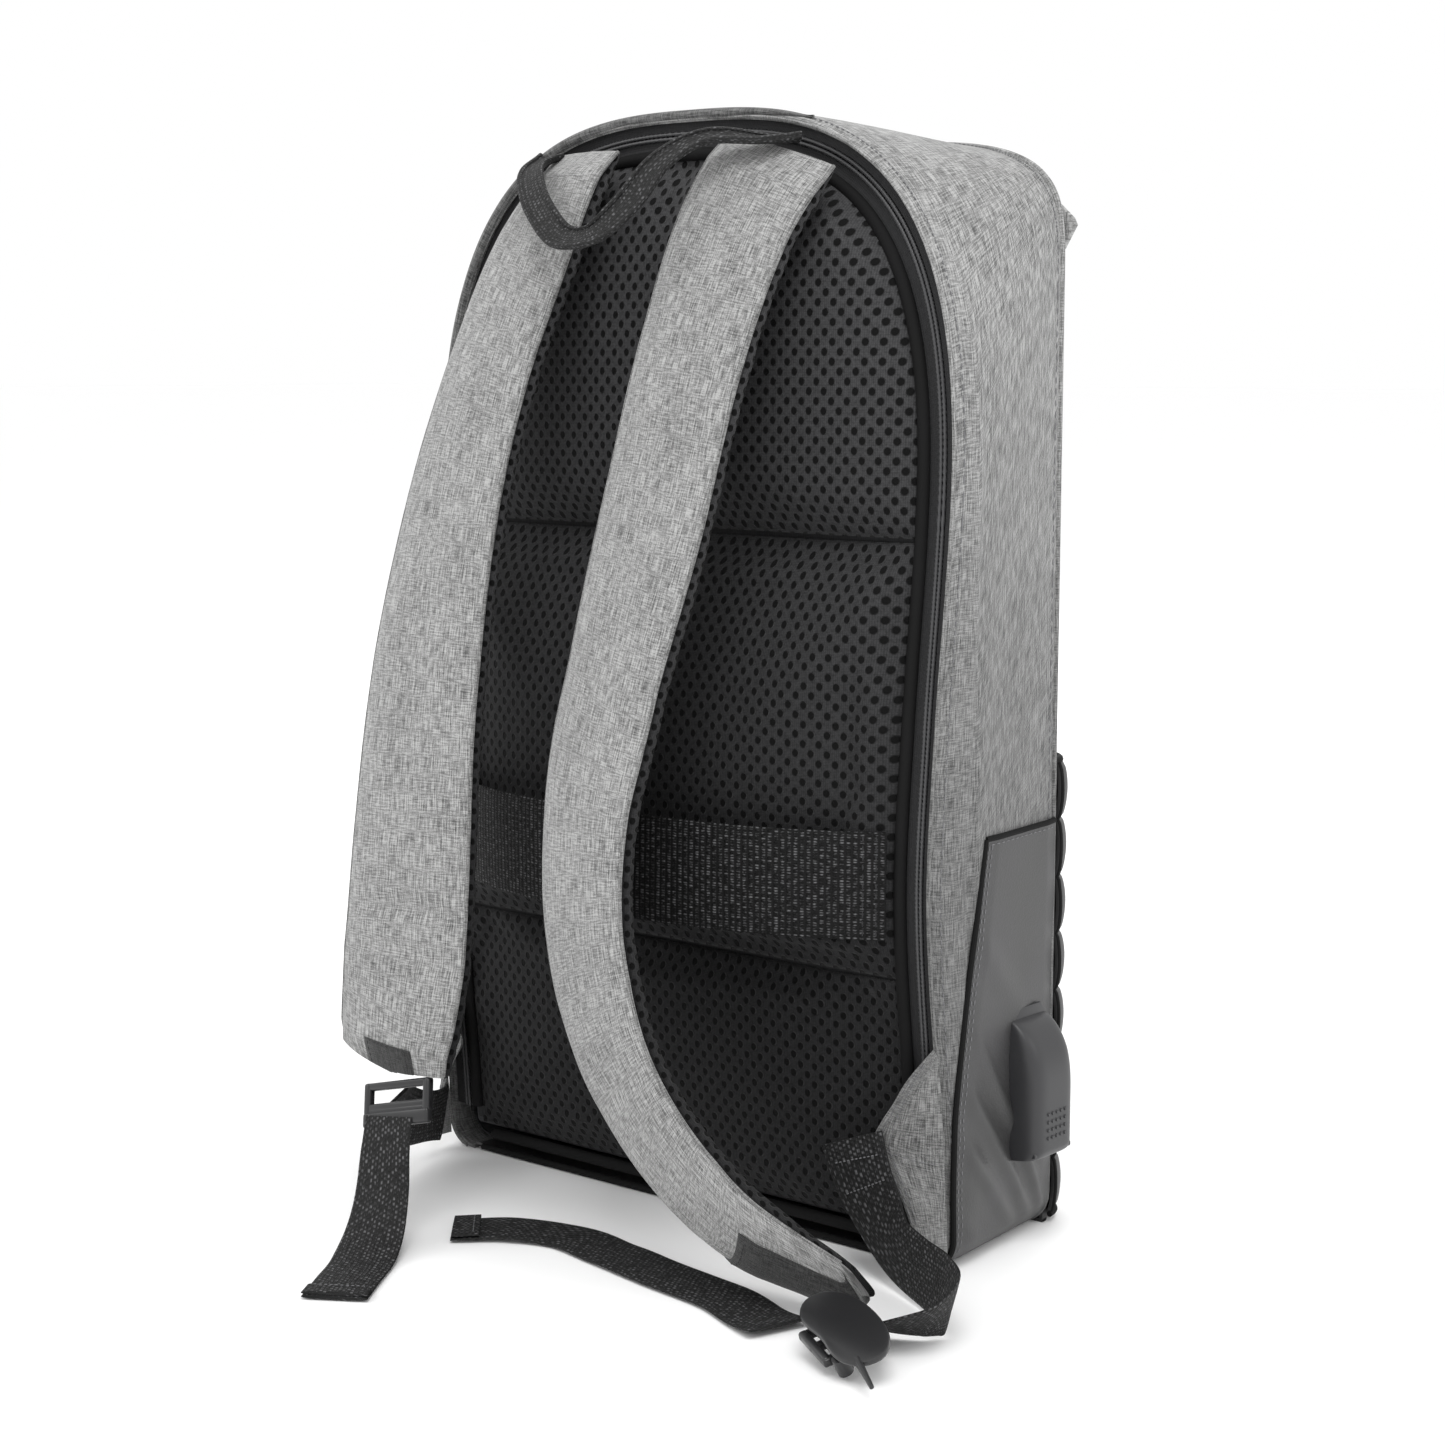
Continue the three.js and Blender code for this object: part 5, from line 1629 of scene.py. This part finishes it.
# ------------------------------------------------------------------ the front
@dataclass
class FrontPocket:
    """The coated front pocket with its quilted face of eight padded channels."""

    half: float = 136.0
    low: float = 1.5
    top: float = 200.0
    back: float = -38.3
    front: float = -55.3
    corner: float = 16.0
    channels: int = 8
    bulge: float = 3.4
    from_z: float = 4.0

    def plan(self, u: float, grow: float, back: float) -> Vector:
        """A point on the pocket's plan, from its left rear edge round the front to its right."""
        side, corner = self.half + grow, self.corner + grow
        front = self.front - grow
        runs = [back - front - corner, corner * math.pi / 2, 2 * (side - corner)]
        total = 2 * runs[0] + 2 * runs[1] + runs[2]
        t = min(u, 1 - u) * total
        if t < runs[0]:
            x, y = -side, back - t
        elif t < runs[0] + runs[1]:
            a = (t - runs[0]) / corner
            x, y = -side + corner * (1 - math.cos(a)), front + corner * (1 - math.sin(a))
        else:
            x, y = -side + corner + (t - runs[0] - runs[1]), front
        return Vector((x if u < 0.5 else -x, y, 0))

    def quilted(self, u: float, v: float, lift: float = 0.0) -> Vector:
        """A point on the quilted face: channels pinched at their seams."""
        z = lerp(self.from_z, self.top, v)
        phase = (v * self.channels) % 1.0
        seam = Vector((u * 900, 0, round(v * self.channels) * 50))
        pucker = 0.35 * soft(seam, 9, 2) * bell(min(phase, 1 - phase), 0, 0.16)
        swell = self.bulge * math.sin(math.pi * phase) ** 0.55 * lerp(0.55, 1, clamp(min(u, 1 - u) / 0.06))
        top = clamp(min(v, 1 - v) / 0.012)
        here, beside = self.plan(u, 1.9, -41.0), self.plan(min(u + 1e-3, 1), 1.9, -41.0)
        if u > 0.999:
            here, beside = self.plan(u - 1e-3, 1.9, -41.0), self.plan(u, 1.9, -41.0)
        ahead = (beside - here).normalized()
        out = Vector((ahead.y, -ahead.x, 0))
        ripple = 0.3 * soft(Vector((here.x, here.y, z)), 26, 6)
        spot = self.plan(u, 1.9, -41.0)
        return spot + out * ((swell + ripple) * top + pucker + lift) + Vector((0, 0, z))

    def build(self) -> None:
        """Makes the pocket, its quilt, its seams and its top binding."""
        def wall(u: float, v: float) -> Vector:
            """A point on the pocket's outer wall."""
            return self.plan(u, 0, self.back) + Vector((0, 0, lerp(self.low, self.top, v)))

        def floor(u: float, v: float) -> Vector:
            """A point on the pocket's floor."""
            edge = self.plan(u, 0, self.back)
            return Vector((edge.x, lerp(edge.y, self.back, v), self.low))

        pocket = Sheet().lay(90, 40, wall).lay(90, 4, floor)
        bmesh.ops.remove_doubles(pocket.bm, verts=pocket.bm.verts[:], dist=0.01)
        pocket.facing(Vector((0, self.back, 100))).thick(1.5)
        pocket.piece("pocket_shell", Body.BAG, QUILTED, "front_pocket")
        quilt = Sheet().lay(110, self.channels * 14, self.quilted).facing(Vector((0, 0, 100))).thick(1.4)
        made = quilt.piece("pocket_quilt", Body.BAG, QUILTED, "front_quilt", sharp=70)
        rows = [
            lambda t, k=k: self.quilted(lerp(0.03, 0.97, t), k / self.channels, 0.05)
            for k in range(1, self.channels)
        ]
        stitches(rows, "quilt_stitches", Body.BAG, BLACK_THREAD, radius=0.34)
        binding = Sheet()
        edges = ((0.9, self.back, self.top + 0.3, 1.7), (2.1, -40.5, self.from_z - 0.4, 1.3))
        for grow, back, z, radius in edges:
            binding.tube(
                lambda t, grow=grow, back=back, z=z: self.plan(t, grow, back) + Vector((0, 0, z)),
                radius, 120, 10, 1.0,
            )
        for u in (0.004, 0.996):
            binding.tube(lambda t, u=u: self.quilted(u, lerp(0.0, 1.0, t), 0.0), 1.0, 120, 8, 1.0, (0, 1, 0))
        binding.closed().piece("pocket_binding", Body.BAG, PIPING)


@dataclass
class SolarFlap:
    """The flap over the front: cloth back with two ears, padded frame, solar board, cells and film."""

    half: float = 130.0
    low: float = 203.0
    top: float = 440.0
    back: float = -40.9
    sheet: float = 3.0
    rim_depth: float = 12.5
    inner: tuple[float, float, float] = (112.8, 213.2, 424.8)

    def build(self) -> None:
        """Makes the flap's cloth pieces and dresses the panel."""
        self.cloth()
        self.frame_pad()
        self.hinge()
        dress(PANEL_BACK, "solar_board")
        dress(CELL, *(f"solar_cell_{k}" for k in range(1, 7)))
        dress(FILM, "solar_cover")
        self.patches()
        self.rivets()

    def cloth(self) -> None:
        """The back cloth, with an ear at each upper corner."""
        right = [
            (self.half - 2, self.low), (self.half, self.low + 2), (self.half, self.top - 38),
            (self.half + 12, self.top - 18), (self.half + 10.5, self.top - 15), (self.half - 3, self.top - 3),
            (self.half - 12, self.top),
        ]
        points = [*right, *((-x, z) for x, z in reversed(right))]
        corners = [Vector((x, self.back, z)) for x, z in points]
        cloth = Sheet().outline(corners, Vector((0, -self.sheet, 0)), 0.8)
        cloth.closed().piece("flap_cloth", Body.FLAP, MELANGE_FLAP, "solar_flap")
        rows = [
            lambda t, side=side: Vector((
                side * lerp(self.half - 2, self.half + 8.5, t),
                self.back + 0.1,
                lerp(self.top - 37, self.top - 18.5, t),
            ))
            for side in (-1, 1)
        ]
        stitches(rows, "ear_stitches", Body.FLAP, PALE_THREAD, radius=0.28)

    def edge(self, v: float, share: float) -> tuple[float, float]:
        """A point on the frame's plan: share 0 on its inner edge, 1 on its outer one, v once round."""
        half = lerp(self.inner[0], self.half, share)
        low, high = lerp(self.inner[1], self.low, share), lerp(self.inner[2], self.top, share)
        corner = lerp(3.0, 13.0, share)
        a = 2 * math.pi * v
        wide, tall = half, (high - low) / 2
        power = 2 / (6 + 0.1 * corner)
        x, z = signed_power(math.cos(a), power) * wide, signed_power(math.sin(a), power) * tall
        return x, (low + high) / 2 + z

    def frame_pad(self) -> None:
        """The padded cloth frame that stands round the panel and keeps it from knocks."""
        steps = 260

        def around(v: float) -> float:
            """Spreads the sections evenly along the sides and round the corners."""
            quarter, part = divmod(v * 4, 1)
            return (quarter + 0.5 + 0.5 * signed_power(2 * part - 1, 2.2)) / 4

        def place(u: float, v: float) -> Vector:
            """u once round the pad's section, v once round the panel."""
            a = 2 * math.pi * u
            share = 0.5 + 0.5 * signed_power(math.cos(a), 0.6)
            deep = 0.5 + 0.5 * signed_power(math.sin(a), 0.55)
            x, z = self.edge(around(v) % 1.0, share)
            wave = 0.5 * soft(Vector((x, 0, z)), 28, 11) * deep
            return Vector((x, self.back - self.sheet + 0.2 - deep * (self.rim_depth - self.sheet) - wave, z))

        pad = Sheet().lay(24, steps, place, wrap=True)
        bmesh.ops.remove_doubles(pad.bm, verts=pad.bm.verts[:], dist=0.01)
        made = pad.closed().piece("flap_frame", Body.FLAP, MELANGE, sharp=70)
        rows = [lambda t, share=share: self.on_frame(around(t), share) for share in (0.16, 0.9)]
        stitches(rows, "flap_stitches", Body.FLAP, PALE_THREAD, radius=0.3)

    def on_frame(self, v: float, share: float) -> Vector:
        """A point on the padded frame's front, share from its inner edge to its outer one."""
        x, z = self.edge(v % 1.0, share)
        rise = (1 - abs(2 * share - 1) ** 3.2) ** 0.6
        return Vector((x, self.back - self.sheet - rise * (self.rim_depth - self.sheet) - 0.1, z))

    def hinge(self) -> None:
        """Cloth that joins the flap's top edge to the bag; it hangs on no body and stays where it is made."""
        line = Curve([
            (-39.3, 452, 0), (-40.2, 446, 0), (-42.2, 441.5, 0), (-45.5, 438.0, 0), (-47.4, 433.0, 0),
        ])

        def place(u: float, v: float) -> Vector:
            """From left to right, bag to flap."""
            spot = line.at(v)
            wave = 0.25 * soft(Vector((u * 224, 0, v * 20)), 18, 3)
            return Vector((lerp(-112, 112, u), spot.x + wave, spot.y))

        cloth = Sheet().lay(60, 14, place).facing(Vector((0, 0, 430))).thick(1.0)
        made = cloth.piece("flap_hinge_cloth", Body.BAG, MELANGE)
        made.parent = None
        del made["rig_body"]
        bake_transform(made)

    def patches(self) -> None:
        """The touch-fastener patches, hook on the flap and loop on the bag, each a rounded block."""
        for kind, body in (("hook", Body.FLAP), ("loop", Body.BAG)):
            for side in ("left", "right"):
                low, high = (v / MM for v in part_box(f"{kind}_patch_{side}"))
                patch = Sheet().block(low, high, 0.4, 2).closed()
                patch.piece(f"{kind}_tape_{side}", body, LOOP, f"{kind}_patch_{side}")

    def rivets(self) -> None:
        """Four pressed eyelets that hold the board at its corners."""
        made = Sheet()
        for x in (-108.5, 108.5):
            for z in (217.5, 420.5):
                start = Vector((x, -45.9, z))
                made.rod(start, start + Vector((0, -0.9, 0)), 2.6, 20, 2.2)
        made.closed().piece("board_rivets", Body.FLAP, ZINC)


@dataclass
class ChargePort:
    """The charging socket's housing on the left side, opening downwards, with its raised dots."""

    def build(self) -> None:
        """Makes the housing and dresses what is in it."""
        low, high = (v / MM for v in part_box("usb_housing"))
        middle_y, half, proud = (low.y + high.y) / 2, (high.y - low.y) / 2, high.x - low.x
        socket = [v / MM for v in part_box("usb_socket_shell")]

        def place(u: float, v: float) -> Vector:
            """u from the front root round the outer face to the rear root, v bottom to top."""
            a = math.pi * u
            z = lerp(low.z, high.z, v)
            shoulder = 1 - clamp((v - 0.45) / 0.55) ** 2.6
            toe = lerp(0.86, 1.0, clamp(v / 0.07) ** 0.5)
            across = signed_power(math.cos(a), 0.36) * half * lerp(0.80, 1.0, clamp((1 - v) / 0.25) ** 0.5)
            out = math.sin(a) ** 0.42 * proud * max(shoulder, 0.0) ** 0.62 * toe
            tilt = 1.6 * (1 - clamp(v / 0.1)) * out / proud
            return Vector((high.x - out, middle_y + across, z + tilt))

        shell = Sheet().lay(56, 60, place).facing(Vector((high.x, middle_y, 60)))
        shell.thick(1.6)
        shell.piece("port_housing", Body.BAG, HOUSING, "usb_housing", sharp=50)
        mouth = Sheet()
        x0, x1 = socket[0].x - 0.4, socket[1].x + 0.4
        y0, y1 = socket[0].y - 0.4, socket[1].y + 0.4
        z = low.z + 2.4
        for a, b in (
            ((low.x + 1.6, middle_y - half + 1.5, z), (x0, middle_y + half - 1.5, z + 2)),
            ((x1, middle_y - half + 1.5, z), (high.x, middle_y + half - 1.5, z + 2)),
            ((x0, middle_y - half + 1.5, z), (x1, y0, z + 2)),
            ((x0, y1, z), (x1, middle_y + half - 1.5, z + 2)),
        ):
            mouth.block(a, b, 0.25, 1)
        mouth.closed().piece("port_mouth", Body.BAG, HOUSING)
        base = [
            Vector((high.x + 0.2, middle_y + y, z))
            for y, z in (
                (-half - 2, 40), (-half - 2, 92), (-half + 6, 101), (half - 6, 101),
                (half + 2, 92), (half + 2, 40), (half - 1, 34.5), (-half + 1, 34.5),
            )
        ]
        base = Sheet().outline(base, Vector((-1.6, 0, 0)), 0.6)
        base.closed().piece("port_base_rim", Body.BAG, HOUSING)
        dots = Sheet()
        for row in range(4):
            for k in range(5):
                start = Vector((low.x + 0.35, middle_y + (k - 2) * 3.1, 48 + 3.4 * row))
                dots.rod(start, start + Vector((-0.85, 0, 0)), 0.95, 14, 0.7)
        dots.closed().piece("port_grip_dots", Body.BAG, HOUSING)
        dress(STEEL, "usb_socket_shell")
        dress(BLACK_PLASTIC, "usb_tongue", "usb_backing_plate")


# ------------------------------------------------------------------ inside
@dataclass
class Interior:
    """What the bag holds: laptop sleeve, organiser, power-bank pocket, base board and electronics."""

    def build(self) -> None:
        """Makes the soft pieces and dresses the hard ones."""
        dress(FOAM_BOARD, "base_board")
        dress(BLACK_PLASTIC, "usb_plug", "charge_plug", "charge_regulator")
        dress(CABLE, "usb_lead", "charge_lead")
        self.sleeve()
        self.pocket("organiser_pocket", "organiser", 3)
        self.pocket("power_bank_pocket", "bank_pocket", 0)

    def sleeve(self) -> None:
        """The padded laptop sleeve: a quilted sheet with bound top, standing off the front lining."""
        low, high = (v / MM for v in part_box("laptop_sleeve"))

        def place(u: float, v: float) -> Vector:
            """From its left side seam round the face to its right one, floor to top."""
            x, z = lerp(low.x, high.x, u), lerp(low.z, high.z, v)
            edge = clamp(min(u, 1 - u) * (high.x - low.x) / 16)
            quilt = abs(math.sin(math.pi * (x + z) / 42) * math.sin(math.pi * (x - z) / 42)) ** 0.5
            depth = lerp(0, high.y - low.y - 2.2, math.sin(edge * math.pi / 2))
            return Vector((x, low.y + 1 + depth + 1.1 * quilt * edge, z))

        face = Sheet().lay(110, 110, place).facing(Vector((0, -300, 150))).thick(1.8)
        made = face.piece("padded_sleeve", Body.BAG, LINING, "laptop_sleeve", sharp=70)
        rim = Sheet().tube(lambda t: place(t, 1.0) + Vector((0, -0.6, 0)), 2.0, 120, 10).closed()
        rim.piece("sleeve_binding", Body.BAG, BLACK_CLOTH)

    def pocket(self, node: str, name: str, pens: int) -> None:
        """An open pocket with soft walls, a bound rim and pen divisions.

        Args:
            node: The frame's node that it stands for.
            name: The piece's name.
            pens: How many stitched divisions it has.
        """
        low, high = (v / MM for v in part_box(node))
        inward = node == "power_bank_pocket"

        def place(u: float, v: float) -> Vector:
            """Round its three free sides, floor to rim."""
            z = lerp(low.z, high.z, v)
            bulge = 0.8 * math.sin(math.pi * v) * math.sin(math.pi * u)
            a = math.pi * u
            across, out = signed_power(math.cos(a), 0.3), math.sin(a) ** 0.3
            if inward:
                y = lerp(low.y, high.y, 0.5 + 0.5 * across)
                return Vector((low.x + (high.x - low.x) * out - 0.4, y, z))
            x = lerp(low.x, high.x, 0.5 + 0.5 * across)
            return Vector((x, low.y + (high.y - low.y - 1.4) * out + bulge, z))

        made = Sheet().lay(72, 30, place).facing((low + high) / 2).thick(1.0)
        made.piece(f"{name}_cloth", Body.BAG, LINING, node, sharp=70)
        rim = Sheet().tube(lambda t: place(lerp(0.01, 0.99, t), 1.0), 1.5, 80, 10).closed()
        rim.piece(f"{name}_binding", Body.BAG, BLACK_CLOTH)
        if pens:
            rows = [
                lambda t, k=k: Vector((
                    lerp(low.x, high.x, (k + 1) / (pens + 2)), high.y - 1.0, lerp(low.z, high.z, t)
                ))
                for k in range(pens)
            ]
            stitches(rows, f"{name}_stitches", Body.BAG, GREY_THREAD, radius=0.3)


# ------------------------------------------------------------------ the studio
@dataclass
class Studio:
    """A pale floor, soft lights and the camera."""

    eye: Triple = (-0.7382, 0.8986, 0.3675)
    turn: float = 219.82
    tilt: float = 7.76
    lens: float = 66.35

    def camera(self) -> None:
        """Puts the camera at the harness side's left, a little above the bag's middle."""
        data = bpy.data.cameras.new("camera")
        data.lens, data.sensor_width = self.lens, 36.0
        camera = bpy.data.objects.new("camera", data)
        a, e = math.radians(self.turn), math.radians(self.tilt)
        back = Vector((math.sin(a) * math.cos(e), -math.cos(a) * math.cos(e), math.sin(e)))
        camera.location = self.eye
        camera.rotation_euler = (-back).to_track_quat("-Z", "Y").to_euler()
        bpy.context.scene.collection.objects.link(camera)
        bpy.context.scene.camera = camera

    def light(self, name: str, place: Triple, size: float, power: float, aim: Triple = (0, 0, 0.22)) -> None:
        """A square soft light.

        Args:
            name: Its name.
            place: Where it stands, in metres.
            size: Its side, in metres.
            power: Its power, in watts.
            aim: What it looks at.
        """
        data = bpy.data.lights.new(name, "AREA")
        data.energy, data.size = power, size
        lamp = bpy.data.objects.new(name, data)
        lamp.location = place
        lamp.rotation_euler = (Vector(aim) - Vector(place)).to_track_quat("-Z", "Y").to_euler()
        bpy.context.scene.collection.objects.link(lamp)

    def build(self) -> None:
        """Makes the floor, the lights and the even surround."""
        bm = bmesh.new()
        bmesh.ops.create_grid(bm, x_segments=1, y_segments=1, size=30)
        mesh = bpy.data.meshes.new("studio_floor")
        bm.to_mesh(mesh)
        bm.free()
        floor = bpy.data.objects.new("studio_floor", mesh)
        bpy.context.scene.collection.objects.link(floor)
        graph = Graph("studio_floor")
        graph.finish((1, 1, 1, 1), 0.9, Specular_IOR_Level=0.1)
        floor.data.materials.append(graph.material)
        self.light("key", (-0.9, 1.0, 2.4), 1.2, 26)
        self.light("side", (-1.9, -0.6, 1.3), 1.0, 5)
        self.light("far", (1.6, 1.3, 1.4), 1.0, 6)
        self.light("front", (0.9, -2.0, 1.6), 1.4, 14)
        world = bpy.data.worlds.new("surround")
        world.use_nodes = True
        world.node_tree.nodes["Background"].inputs["Color"].default_value = (1, 1, 1, 1)
        world.node_tree.nodes["Background"].inputs["Strength"].default_value = 1.0
        bpy.context.scene.world = world
        bpy.context.scene.view_settings.view_transform = "Standard"


# ------------------------------------------------------------------ assembly
def straps() -> list[Strap]:
    """The two shoulder straps, on the routes of the frame's own."""
    left = Strap(
        "left", Body.LEFT,
        Route(
            [(-60, 47, 450.5), (-50, 62, 420), (-40, 77, 368.2), (-31, 90, 304.1), (-20, 101.4, 240.1),
             (-13, 110.4, 184.8), (-19, 117.4, 130.1), (-42, 120, 80), (-90, 121, 39), (-155, 110, 12)],
            [(0.1, 1, 0), (0.1, 1, 0), (0.15, 1, 0), (0.2, 1, 0), (0.3, 0.95, 0), (0.33, 0.94, 0),
             (0.33, 0.94, -0.05), (0.3, 0.93, -0.15), (0.25, 0.92, -0.25), (0.2, 0.92, -0.3)],
        ),
        widths=[(0, 60), (0.2, 62), (0.5, 70), (0.7, 66), (0.88, 47), (0.95, 29), (0.985, 22), (1, 12)],
        tab=(0.915, 0.998), tab_across=8.0,
        tail=Route(
            [(-132, 138, 3), (-118, 133, 1), (-95, 124, 0.8), (-60, 119, 0.8), (-25, 113, 0.8), (5, 109, 0.8),
             (30, 119, 1.6), (48, 134, 0.8)],
            [(0, 0, 1), (0, 0, 1)],
        ),
        joining=Route(
            [(-112, 66, 57), (-117, 65, 42), (-126, 65, 27), (-138, 70, 18), (-158, 80, 15), (-178, 92, 15),
             (-188, 104, 14), (-186, 116, 11), (-174, 126, 9), (-160, 134, 9)],
            [(-0.3, 1, 0.2), (0, 1, 0.1), (0.5, 0.85, 0.1), (0.95, 0.3, 0.15), (0.5, -0.4, 0.75),
             (0.2, -0.1, 0.95)],
        ),
        seed=1.0, creases=[(0.70, 0.5), (0.78, 0.7)],
    )
    right = Strap(
        "right", Body.RIGHT,
        Route(
            [(46, 46.5, 453), (53, 64, 421), (66, 77, 376.8), (76, 90, 324.9), (81, 102.4, 267.8),
             (82, 112.4, 214.2), (80, 120.4, 165.7), (78, 127, 122.5), (78, 133, 84), (77, 137, 66)],
            [(0.35, 0.93, 0), (0.25, 0.96, 0), (0.1, 1, 0), (0, 1, 0), (0, 1, 0)],
        ),
        widths=[(0, 58), (0.3, 64), (0.5, 70), (0.8, 72), (1, 60)],
        tab=(0.925, 0.999), tab_across=-2.0,
        tail=Route(
            [(71, 148, 50), (69, 152, 37), (65, 158, 22), (58, 169, 9), (48, 185, 1.8), (37, 203, 0.8),
             (25, 222, 0.8)],
            [(0, 1, 0.4), (0, 0.8, 1), (0, 0, 1), (0, 0, 1)],
        ),
        joining=Route(
            [(128, 60, 22), (117.9, 84, 26), (101, 114, 38), (84, 134, 50)], [(0.3, 1, 0.2), (0.3, 0.6, 0.8)]
        ),
        seed=2.0, slant=0.045, creases=[(0.74, 1.6), (0.79, 1.1)],
    )
    return [left, right]


def main() -> None:
    """Builds the backpack, part by part, then the studio round it."""
    logging.basicConfig(level=logging.INFO, format="%(name)s: %(message)s")
    studio = Studio()
    studio.camera()
    for part in (Shell(), SidePanels(), Zipper(), BackPanel(), *straps(), HaulLoop()):
        part.build()
    locks = (
        LadderLock("left", Body.LEFT, (-171, 147, 10), (-0.88, 0.42, -0.16), (-0.3, 0.42, 0.85), True, 12.0),
        LadderLock("right", Body.RIGHT, (70, 144, 55), (-0.25, 0.3, -0.92), (0, 0.95, 0.3), False, 8.0),
    )
    for part in (*locks, FrontPocket(), SolarFlap(), ChargePort(), Interior()):
        part.build()
    studio.build()


if __name__ == "__main__":
    main()
